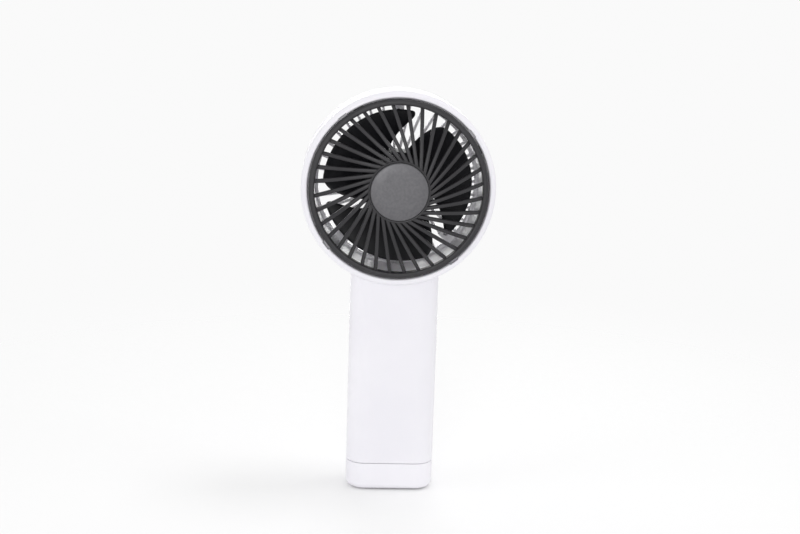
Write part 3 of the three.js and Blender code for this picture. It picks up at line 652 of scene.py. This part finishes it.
vane = leaning_bar("vane", VANE_TANGENT, (GUARD_HUB_R - 1 * MM, RIM_R + 0.6 * MM), VANE_W,
                   VANE_Y[1] - VANE_Y[0], lambda radius: VANE_Y[0], 3, 0.3 * MM)
vanes = swept_round(vane, VANES, VANE_PHASE, "vanes")
rear_guard = gathered("rear_guard", [rim, guard_hub])
join_to(rear_guard, vanes)
join_to(rear_guard, block("wire_rib", (-RIB_X, RIB_Y[0], AXIS_Z - 36.5 * MM),
                          (RIB_X, RIB_Y[1], AXIS_Z - 14 * MM)))
join_to(rear_guard, block("wire_cover", (-COVER_X, VANE_Y[0], AXIS_Z - 36.4 * MM),
                          (COVER_X, VANE_Y[1], AXIS_Z - 30.5 * MM)))
for angle in GUARD_SCREWS:
    for radius, y0, y1, work in ((2.7, 9.5, 11.3, join_to), (2.1, 11.3, 15, cut_from), (1, 9, 12, cut_from)):
        tool = rod("tool", radius * MM, y0 * MM, y1 * MM, GUARD_SCREW_R, AXIS_Z)
        work(rear_guard, turned_copy(tool, angle, "tool"))
        bpy.data.objects.remove(tool)
smoothed(rear_guard, 35)
print("rear guard:", VANES, "vanes,", len(rear_guard.data.polygons), "faces")

# %% [markdown]
# ## Button, level lights, socket and screws
# The power button is a shallow dished key. Its flange stays behind the wall, so it cannot fall out. Below
# it four short light pipes end flush with the handle.

# %% Power button
STEM_R, FLANGE_R, KEY_R = 1.5 * MM, 7 * MM, 5.9 * MM
FLANGE_Y = 10.35 * MM
key_cap = turned("key_cap", [
    (0.6 * MM, 8.3 * MM), (STEM_R, 8.3 * MM), (STEM_R, 9.2 * MM), (FLANGE_R, 9.2 * MM),
    (FLANGE_R, FLANGE_Y), (KEY_R, FLANGE_Y), *arc(5.35 * MM, 12.35 * MM, 0.55 * MM, 0, 90, 6),
    (4.7 * MM, 12.82 * MM), (3.2 * MM, 12.68 * MM), (1.6 * MM, 12.6 * MM), (0.3 * MM, 12.58 * MM)],
    96, (0, BUTTON_Z))
smoothed(key_cap)

level_pipes = []
for i, (low, high) in enumerate(light_boxes):
    pipe = turned(f"level_pipe_{i + 1}", [
        (0.9 * MM, low[1]), *arc(0.6 * MM, high[1] - 0.3 * MM, 0.3 * MM, 0, 90, 4), (0.1 * MM, high[1])],
        32, (LIGHT_XS[i], LIGHT_Z))
    smoothed(pipe)
    level_pipes.append(pipe)
print("button and", len(level_pipes), "light pipes")

# %% [markdown]
# The charging socket is a drawn steel shell with a thin contact tongue inside. The shell is a block with
# its long corners rounded, and its mouth is hollowed out with a second, smaller one.

# %% Charging socket
usb_socket = block("usb_socket", usb_low, usb_high)
round_edges(usb_socket, along_y, 1.5 * MM, 8)
inside = block("inside", usb_low + Vector((0.3, 1, 0.3)) * MM, usb_high + Vector((-0.3, 1, -0.3)) * MM)
round_edges(inside, along_y, 1.25 * MM, 8)
cut_from(usb_socket, inside)
TONGUE_X, TONGUE_Z = 3.3 * MM, 0.35 * MM
join_to(usb_socket, block("tongue", (-TONGUE_X, usb_low[1] + 0.5 * MM, USB_Z - TONGUE_Z),
                          (TONGUE_X, usb_high[1] - 1.2 * MM, USB_Z + TONGUE_Z)))
smoothed(usb_socket)
print("charging socket:", len(usb_socket.data.polygons), "faces")

# %% [markdown]
# The screws that show are small pan heads with a cross recess. Each is turned to the length it needs, and
# the cross is cut with two thin blocks.

# %% Screws that show
HEAD_HIGH, PAN_ROUND, SHANK_R = 1.4 * MM, 0.9 * MM, 0.8 * MM
CROSS_LONG, CROSS_NARROW, CROSS_DEEP = 1.05 * MM, 0.24 * MM, 0.75 * MM
CASE_LENGTH, GUARD_LENGTH = 17.8 * MM, 4 * MM


def screw_at(name, node, length):
    """A pan-head screw whose head fills the head of the named CAD node and faces the back."""
    low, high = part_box(node)
    x, z = (low[0] + high[0]) / 2, (low[2] + high[2]) / 2
    head = (high[2] - low[2]) / 2
    top = high[1]
    under = top - HEAD_HIGH
    tip = under - length
    made = turned(name, [
        (0.3 * MM, tip), (SHANK_R, tip + 0.5 * MM), (SHANK_R, under), (head - 0.1 * MM, under),
        (head, under + 0.2 * MM), *arc(head - PAN_ROUND, top - PAN_ROUND, PAN_ROUND, 0, 80, 5),
        (0.3 * MM, top)], 48, (x, z))
    for half_x, half_z in ((CROSS_LONG, CROSS_NARROW), (CROSS_NARROW, CROSS_LONG)):
        cut_from(made, block("cross", (x - half_x, top - CROSS_DEEP, z - half_z),
                             (x + half_x, top + 1 * MM, z + half_z)))
    smoothed(made)
    return made


screws = {
    node: screw_at(node.replace("screw", "bolt"), node, length)
    for node, length in [
        ("case_screw_left", CASE_LENGTH), ("case_screw_right", CASE_LENGTH),
        *((f"rear_grille_screw_{i}", GUARD_LENGTH) for i in (1, 2, 3))]
}
print("screws:", len(screws))

# %% [markdown]
# ## Finishes
# Every finish is made of shader nodes that read the piece's own coordinates, so nothing slides when a part
# turns. Real moulded plastic is never one even colour. It has a fine spark-etched grain, its gloss varies a
# little, and wide soft flow marks lighten and darken it. A small helper makes each of those three things.

# %% Helpers: a new finish, mottling, steps and grain
def new_finish(name, roughness, metal=0):
    """A node material, its shader, and the coordinates of the piece it is put on."""
    material = bpy.data.materials.new(name)
    material.use_nodes = True
    tree = material.node_tree
    surface = tree.nodes["Principled BSDF"]
    surface.inputs["Roughness"].default_value = roughness
    surface.inputs["Metallic"].default_value = metal
    place = tree.nodes.new("ShaderNodeTexCoord").outputs["Object"]
    return material, tree, surface, place


def mottle(tree, place, size, detail=3):
    """Soft random patches of about this size, in metres."""
    noise = tree.nodes.new("ShaderNodeTexNoise")
    noise.inputs["Scale"].default_value = 1 / size
    noise.inputs["Detail"].default_value = detail
    tree.links.new(place, noise.inputs["Vector"])
    return noise.outputs["Fac"]


def coloured(tree, surface, amount, colours, low=0.35, high=0.65):
    """Runs the base colour from the first colour to the last as amount goes from low to high."""
    ramp = tree.nodes.new("ShaderNodeValToRGB")
    stops = ramp.color_ramp.elements
    stops[0].position, stops[1].position = low, high
    stops[0].color, stops[1].color = (*colours[0], 1), (*colours[-1], 1)
    tree.links.new(amount, ramp.inputs["Fac"])
    tree.links.new(ramp.outputs["Color"], surface.inputs["Base Color"])


def glossed(tree, surface, amount, low, high):
    """Varies the roughness between two values."""
    spread = tree.nodes.new("ShaderNodeMapRange")
    spread.inputs["From Min"].default_value, spread.inputs["From Max"].default_value = 0.3, 0.7
    spread.inputs["To Min"].default_value, spread.inputs["To Max"].default_value = low, high
    tree.links.new(amount, spread.inputs["Value"])
    tree.links.new(spread.outputs["Result"], surface.inputs["Roughness"])


def raised(tree, surface, height, depth, strength=1, under=None):
    """Adds relief of this depth in metres, on top of any relief under it."""
    bump = tree.nodes.new("ShaderNodeBump")
    bump.inputs["Distance"].default_value = depth
    bump.inputs["Strength"].default_value = strength
    tree.links.new(height, bump.inputs["Height"])
    if under:
        tree.links.new(under, bump.inputs["Normal"])
    tree.links.new(bump.outputs["Normal"], surface.inputs["Normal"])
    return bump.outputs["Normal"]


def plastic(name, colours, gloss, grain_size, grain_depth, flow_size=0.03, shine=0.5):
    """Moulded plastic: flow marks in its colour, an uneven gloss, and an etched grain."""
    material, tree, surface, place = new_finish(name, sum(gloss) / 2)
    surface.inputs["Specular IOR Level"].default_value = shine
    coloured(tree, surface, mottle(tree, place, flow_size), colours)
    glossed(tree, surface, mottle(tree, place, flow_size / 4, 5), *gloss)
    raised(tree, surface, mottle(tree, place, grain_size, 2), grain_depth)
    return material


# %% [markdown]
# The casing is a satin white with a breath of lavender. Light goes a little way into white plastic, so it
# gets some subsurface scattering, and the thin vanes of the guard get more of it. The grille is a dark
# neutral grey, and the wheel is near black with a finer grain.

# %% Plastics
shell_white = plastic("shell_white", [(0.795, 0.785, 0.828), (0.82, 0.81, 0.848)], (0.36, 0.46),
                      0.45 * MM, 0.006 * MM)
guard_white = plastic("guard_white", [(0.855, 0.845, 0.875), (0.875, 0.865, 0.89)], (0.34, 0.44),
                      0.45 * MM, 0.006 * MM)
for white, weight, reach in ((shell_white, 0.35, 1.2 * MM), (guard_white, 0.8, 4 * MM)):
    shader = white.node_tree.nodes["Principled BSDF"]
    shader.inputs["Subsurface Weight"].default_value = weight
    shader.inputs["Subsurface Radius"].default_value = (1, 0.95, 1)
    shader.inputs["Subsurface Scale"].default_value = reach
grille_grey = plastic("grille_grey", [(0.024, 0.023, 0.026), (0.030, 0.029, 0.032)], (0.38, 0.5),
                      0.4 * MM, 0.01 * MM, 0.012, 0.35)
fan_black = plastic("fan_black", [(0.0055, 0.0055, 0.008), (0.008, 0.008, 0.011)], (0.4, 0.52),
                    0.4 * MM, 0.008 * MM, 0.015, 0.35)
chip_black = plastic("chip_black", [(0.010, 0.010, 0.011), (0.017, 0.017, 0.019)], (0.5, 0.65),
                     0.12 * MM, 0.01 * MM, 0.002)
print("plastics made")

# %% [markdown]
# The duct is a deep white tube, and little light gets into it past the grille. Its wall is the same plastic
# as the outside, but is painted a lighter colour as painted light, which stands in for light that the tube
# does not get. The distance from the fan's axis tells the wall from the rest of the casing.

# %% Painted light on the duct wall
# The lighter duct colour below is painted light, not a different plastic.
DUCT_PAINTED_LIGHT = (0.945, 0.93, 0.975, 1)
WALL_SKIN = (0.6 * MM, 0.2 * MM)
tree = shell_white.node_tree
surface = tree.nodes["Principled BSDF"]
place = tree.nodes["Texture Coordinate"].outputs["Object"]
from_axis = tree.nodes.new("ShaderNodeVectorMath")
from_axis.operation = "MULTIPLY_ADD"
from_axis.inputs[1].default_value = (1, 0, 1)
from_axis.inputs[2].default_value = (0, 0, -AXIS_Z)
distance = tree.nodes.new("ShaderNodeVectorMath")
distance.operation = "LENGTH"
within = tree.nodes.new("ShaderNodeMapRange")
within.inputs["From Min"].default_value = DUCT_R + WALL_SKIN[0]
within.inputs["From Max"].default_value = DUCT_R + WALL_SKIN[1]
# This mix paints the duct wall lighter, as painted light, inside the radius picked out above.
whiter = tree.nodes.new("ShaderNodeMix")
whiter.data_type = "RGBA"
whiter.inputs["B"].default_value = DUCT_PAINTED_LIGHT
tree.links.new(place, from_axis.inputs[0])
tree.links.new(from_axis.outputs["Vector"], distance.inputs[0])
tree.links.new(distance.outputs["Value"], within.inputs["Value"])
tree.links.new(within.outputs["Result"], whiter.inputs["Factor"])
tree.links.new(surface.inputs["Base Color"].links[0].from_socket, whiter.inputs["A"])
tree.links.new(whiter.outputs["Result"], surface.inputs["Base Color"])
print("duct wall made whiter")

# %% [markdown]
# The hub disc is painted with a fine metallic lacquer over a very slightly turned face. Tiny flakes make
# its mottling, and faint rings round the axis make the soft sheen that fans out over it.

# %% Hub disc lacquer
WAVES_PER_SCALE = 3.18


def rings_about(tree, place, centre, pitch):
    """Rings of this pitch about a line along Y through centre, as a height from 0 to 1."""
    shift = tree.nodes.new("ShaderNodeMapping")
    shift.inputs["Location"].default_value = [-c for c in centre]
    wave = tree.nodes.new("ShaderNodeTexWave")
    wave.wave_type, wave.rings_direction = "RINGS", "Y"
    wave.inputs["Scale"].default_value = 1 / (pitch * WAVES_PER_SCALE)
    wave.inputs["Distortion"].default_value = 0
    tree.links.new(place, shift.inputs["Vector"])
    tree.links.new(shift.outputs["Vector"], wave.inputs["Vector"])
    return wave.outputs["Fac"]


disc_lacquer, tree, surface, place = new_finish("disc_lacquer", 0.42, 0.25)
coloured(tree, surface, mottle(tree, place, 1.1 * MM, 6), [(0.104, 0.102, 0.110), (0.125, 0.123, 0.131)])
glossed(tree, surface, mottle(tree, place, 3 * MM, 4), 0.36, 0.48)
turned_marks = raised(tree, surface, rings_about(tree, place, (0, 0, AXIS_Z), 0.35 * MM), 0.003 * MM, 0.6)
raised(tree, surface, mottle(tree, place, 0.3 * MM), 0.006 * MM, 1, turned_marks)
print("disc lacquer made")

# %% [markdown]
# The foot is a pale grey soft rubber: matt, slightly dusty, with a coarse grain. The level lights are clear
# milky pipes, so they scatter deeply and keep a hard gloss.

# %% Rubber, light pipes and foam
foot_grey = plastic("foot_grey", [(0.50, 0.50, 0.52), (0.60, 0.60, 0.62)], (0.75, 0.92),
                    0.5 * MM, 0.03 * MM, 0.006, 0.3)
milky_pipe = plastic("milky_pipe", [(0.86, 0.87, 0.92), (0.92, 0.93, 0.96)], (0.15, 0.25),
                     0.5 * MM, 0.003 * MM, 0.002)
shader = milky_pipe.node_tree.nodes["Principled BSDF"]
shader.inputs["Subsurface Weight"].default_value = 0.6
shader.inputs["Subsurface Scale"].default_value = 1 * MM
foam_grey = plastic("foam_grey", [(0.022, 0.022, 0.025), (0.060, 0.060, 0.066)], (0.9, 1),
                    0.5 * MM, 0.25 * MM, 0.001, 0.1)
print("rubber, light pipes and foam made")

# %% [markdown]
# The metals differ in how they were made. Sheet steel is drawn and has long faint streaks, bearings and
# shafts are ground bright, brass is turned, nickel strip is rolled, and the core is a stack of stamped
# sheets whose edges show as fine lines. Stretched noise gives streaks, and a wave gives a stack or a winding.

# %% Metals
def metal(name, colours, gloss, stretch=(1, 1, 1), size=0.5 * MM, depth=0.004 * MM):
    """Bare metal whose streaks run along the axis that is stretched most."""
    material, tree, surface, place = new_finish(name, sum(gloss) / 2, 1)
    drawn = tree.nodes.new("ShaderNodeMapping")
    drawn.inputs["Scale"].default_value = [1 / s for s in stretch]
    tree.links.new(place, drawn.inputs["Vector"])
    streaks = mottle(tree, drawn.outputs["Vector"], size, 6)
    coloured(tree, surface, streaks, colours)
    glossed(tree, surface, mottle(tree, place, 4 * MM, 5), *gloss)
    raised(tree, surface, streaks, depth)
    return material


sheet_steel = metal("sheet_steel", [(0.48, 0.48, 0.50), (0.60, 0.60, 0.62)], (0.24, 0.36), (1, 12, 1))
screw_steel = metal("screw_steel", [(0.42, 0.42, 0.44), (0.56, 0.56, 0.58)], (0.28, 0.4))
bearing_steel = metal("bearing_steel", [(0.62, 0.62, 0.64), (0.72, 0.72, 0.74)], (0.1, 0.18), (6, 1, 6))
turned_brass = metal("turned_brass", [(0.62, 0.42, 0.14), (0.72, 0.50, 0.20)], (0.2, 0.32), (8, 1, 8))
nickel_strip = metal("nickel_strip", [(0.55, 0.54, 0.51), (0.66, 0.65, 0.62)], (0.26, 0.38), (14, 1, 1))
magnet_grey = metal("magnet_grey", [(0.045, 0.045, 0.050), (0.075, 0.075, 0.082)], (0.55, 0.7), (1, 1, 1),
                    0.3 * MM, 0.02 * MM)


def banded_metal(name, colours, gloss, pitch, depth):
    """Metal in bands along Y: stacked sheets, or wire wound side by side."""
    material, tree, surface, place = new_finish(name, sum(gloss) / 2, 1)
    wave = tree.nodes.new("ShaderNodeTexWave")
    wave.bands_direction = "Y"
    wave.inputs["Scale"].default_value = 1 / (pitch * WAVES_PER_SCALE)
    wave.inputs["Distortion"].default_value = 0.4
    tree.links.new(place, wave.inputs["Vector"])
    coloured(tree, surface, wave.outputs["Fac"], colours, 0.1, 0.6)
    glossed(tree, surface, mottle(tree, place, 1 * MM), *gloss)
    raised(tree, surface, wave.outputs["Fac"], depth)
    return material


core_sheets = banded_metal("core_sheets", [(0.16, 0.16, 0.17), (0.42, 0.42, 0.44)], (0.35, 0.5),
                           0.5 * MM, 0.05 * MM)
copper_winding = banded_metal("copper_winding", [(0.24, 0.07, 0.02), (0.72, 0.30, 0.12)], (0.2, 0.35),
                              0.3 * MM, 0.12 * MM)
print("metals made")

# %% [markdown]
# A circuit board is green lacquer over copper tracks, which show as slightly raised, lighter lines. A brick
# pattern gives the right-angled look of tracks. The cells have a thin blue shrink sleeve with a fine
# wrinkle. Wires that carry the battery's current are red and black, and the motor's three are white.

# %% Board, sleeve and wire skins
def board_lacquer(name, flat):
    """Board lacquer over tracks. flat gives the two axes that the board's face lies along."""
    material, tree, surface, place = new_finish(name, 0.35)
    axes = tree.nodes.new("ShaderNodeSeparateXYZ")
    face = tree.nodes.new("ShaderNodeCombineXYZ")
    tree.links.new(place, axes.inputs["Vector"])
    for axis, target in zip(flat, "XY"):
        tree.links.new(axes.outputs[axis], face.inputs[target])
    tracks = tree.nodes.new("ShaderNodeTexBrick")
    tracks.inputs["Scale"].default_value = 1 / (6 * MM)
    tracks.inputs["Mortar Size"].default_value = 0.04
    tracks.inputs["Color1"].default_value = (0.010, 0.085, 0.040, 1)
    tracks.inputs["Color2"].default_value = (0.013, 0.105, 0.050, 1)
    tracks.inputs["Mortar"].default_value = (0.030, 0.190, 0.090, 1)
    tree.links.new(face.outputs["Vector"], tracks.inputs["Vector"])
    tree.links.new(tracks.outputs["Color"], surface.inputs["Base Color"])
    glossed(tree, surface, mottle(tree, place, 2 * MM), 0.26, 0.42)
    raised(tree, surface, tracks.outputs["Fac"], 0.03 * MM)
    return material


upright_board = board_lacquer("upright_board", "XZ")
level_board = board_lacquer("level_board", "XY")
cell_sleeve = plastic("cell_sleeve", [(0.022, 0.19, 0.42), (0.035, 0.23, 0.48)], (0.24, 0.34),
                      2 * MM, 0.03 * MM, 0.01)


def wire_skin(name, colours):
    """The smooth soft skin of a wire."""
    return plastic(name, colours, (0.4, 0.5), 0.3 * MM, 0.01 * MM, 0.004)


wire_red = wire_skin("wire_red", [(0.40, 0.018, 0.014), (0.50, 0.03, 0.02)])
wire_black = wire_skin("wire_black", [(0.009, 0.009, 0.011), (0.016, 0.016, 0.019)])
wire_white = wire_skin("wire_white", [(0.70, 0.70, 0.72), (0.78, 0.78, 0.80)])
print("finishes in all:", len(bpy.data.materials))

# %% [markdown]
# ## Fitting it all to the working model
# Each finer piece takes the place of one CAD node, rides on that node's body, and carries its finish slot.

# %% Place and finish the new pieces
def fitted(piece, node, body, material):
    """Puts a finished piece in the place of a CAD node."""
    piece.data.materials.clear()
    piece.data.materials.append(material)
    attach(piece, body)
    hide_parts(node)


fitted(front_casing, "front_shell", "housing", shell_white)
fitted(rear_casing, "rear_shell", "housing", shell_white)
fitted(base_end_cap, "base_cap", "housing", shell_white)
fitted(foot_rubber, "foot_pad", "housing", foot_grey)
fitted(rear_guard, "rear_grille", "housing", guard_white)
fitted(swirl_grille, "front_grille", "grille", grille_grey)
fitted(hub_disc, "hub_badge", "grille", disc_lacquer)
fitted(fan_wheel, "impeller", "rotor", fan_black)
fitted(key_cap, "power_button", "button", shell_white)
fitted(usb_socket, "usb_port", "housing", sheet_steel)
for i, pipe in enumerate(level_pipes):
    fitted(pipe, f"level_light_{i + 1}", "housing", milky_pipe)
for node, screw in screws.items():
    fitted(screw, node, "housing", screw_steel)

# %% [markdown]
# The inner pieces are right as they are, so they stay and only get their finish.

# %% Finish the inner pieces that stay
inner_finishes = {
    sheet_steel: ["rotor_cup", "shaft_clip"],
    screw_steel: ["board_screw_left", "board_screw_right", "base_screw_left", "base_screw_right"],
    bearing_steel: ["motor_shaft", "bearing_front", "bearing_rear"],
    turned_brass: ["bearing_tube"],
    magnet_grey: ["rotor_magnet"],
    core_sheets: ["stator_core"],
    copper_winding: [f"stator_coil_{i}" for i in range(1, 7)],
    upright_board: ["motor_board", "main_board"],
    level_board: ["charge_board"],
    chip_black: ["controller_chip", "motor_driver_chip", "power_inductor", "charge_chip", "switch_body"],
    nickel_strip: ["cell_strip_top", "cell_strip_bottom", "switch_plunger"],
    cell_sleeve: ["battery_cell_left", "battery_cell_right"],
    foam_grey: ["battery_foam"],
    wire_white: ["motor_wire_1", "motor_wire_2", "motor_wire_3"],
    wire_red: ["charge_wire_red", "battery_wire_red"],
    wire_black: ["charge_wire_black", "battery_wire_black"],
}
for material, names in inner_finishes.items():
    for name in names:
        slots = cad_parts[name].data.materials
        slots.clear()
        slots.append(material)
print("inner pieces finished:", sum(map(len, inner_finishes.values())))

# %% [markdown]
# ## Floor, light and camera
# The fan stands on a plain pale floor. Away from the fan it fades out, so no horizon shows.

# %% Floor
SURROUND = 0.955
FLOOR_R = 1.5
FADE = 0.06, 0.5
bpy.ops.object.select_all(action="DESELECT")
bpy.ops.mesh.primitive_circle_add(vertices=64, radius=FLOOR_R, fill_type="NGON", location=(0, 0, -0.2 * MM))
bpy.ops.object.transform_apply()
floor = bpy.context.object
floor.name = "floor"

floor_pale, tree, surface, place = new_finish("floor_pale", 0.9)
surface.inputs["Base Color"].default_value = (0.96, 0.96, 0.96, 1)
surface.inputs["Specular IOR Level"].default_value = 0.1
away = tree.nodes.new("ShaderNodeVectorMath")
away.operation = "LENGTH"
fade = tree.nodes.new("ShaderNodeMapRange")
fade.interpolation_type = "SMOOTHSTEP"
fade.inputs["From Min"].default_value, fade.inputs["From Max"].default_value = FADE
fade.inputs["To Min"].default_value, fade.inputs["To Max"].default_value = 1, 0
tree.links.new(place, away.inputs[0])
tree.links.new(away.outputs["Value"], fade.inputs["Value"])
tree.links.new(fade.outputs["Result"], surface.inputs["Alpha"])
floor.data.materials.append(floor_pale)
print("floor radius", FLOOR_R, "m")

# %% [markdown]
# The light is what a white tent gives, with an even glow from all round. The camera sees the surround as
# one pale tone, and the fan is lit by a weaker one, which leaves the panels something to do.

# %% Even surround
GLOW = 0.77
world = bpy.data.worlds.new("white_tent")
bpy.context.scene.world = world
world.use_nodes = True
sky = world.node_tree
seen = sky.nodes["Background"]
seen.inputs["Color"].default_value = (SURROUND, SURROUND, SURROUND, 1)
glow = sky.nodes.new("ShaderNodeBackground")
glow.inputs["Color"].default_value = (1, 1, 1, 1)
glow.inputs["Strength"].default_value = GLOW
by_ray = sky.nodes.new("ShaderNodeLightPath")
either = sky.nodes.new("ShaderNodeMixShader")
sky.links.new(by_ray.outputs["Is Camera Ray"], either.inputs["Fac"])
sky.links.new(glow.outputs["Background"], either.inputs[1])
sky.links.new(seen.outputs["Background"], either.inputs[2])
sky.links.new(either.outputs["Shader"], sky.nodes["World Output"].inputs["Surface"])
print("surround", SURROUND, "and glow", GLOW)

# %% [markdown]
# Soft square panels stand in front, at both sides and above. One more behind the fan lights the inside of
# the duct through the rear guard.

# %% Soft panels of light
LIT_POINT = Vector((0, 0, 0.1))


def panel(name, place, size, power):
    """A square area light aimed at the middle of the fan. It has a side in metres and a power in watts."""
    aim = LIT_POINT - Vector(place)
    bpy.ops.object.light_add(type="AREA", location=place, rotation=aim.to_track_quat("-Z", "Y").to_euler())
    light = bpy.context.object
    light.name = name
    light.data.size, light.data.energy = size, power
    light.visible_camera = False
    return light


panels = [
    panel("panel_front", (-0.15, -1.4, 0.35), 0.5, 4.6),
    panel("panel_left", (-1.2, -0.4, 0.4), 0.7, 2.0),
    panel("panel_right", (1.2, -0.3, 0.4), 0.7, 1.7),
    panel("panel_above", (0.35, 0.05, 1.2), 0.35, 1.8),
    panel("panel_behind", (0.1, 1.3, 0.15), 0.8, 6.5),
]
print("light panels:", len(panels))

# %% [markdown]
# The camera stands in front of the fan and a little above it. It looks slightly down, and a fairly long
# lens keeps the sides of the handle nearly parallel.

# %% Camera
CAMERA_PLACE = (-32 * MM, -652.8 * MM, 237.3 * MM)
CAMERA_YAW, CAMERA_PITCH, CAMERA_ROLL = (math.radians(a) for a in (3.03, 11.23, 1.79))
bpy.ops.object.camera_add()
camera = bpy.context.object
camera.data.lens = 63
camera.data.sensor_width = 36
camera.matrix_world = (
    Matrix.Translation(CAMERA_PLACE)
    @ Matrix.Rotation(-CAMERA_YAW, 4, "Z")
    @ Matrix.Rotation(math.pi / 2 - CAMERA_PITCH, 4, "X")
    @ Matrix.Rotation(CAMERA_ROLL, 4, "Z"))
bpy.context.scene.camera = camera
bpy.context.scene.view_settings.view_transform = "Standard"
print("camera at", [round(c, 3) for c in camera.location])
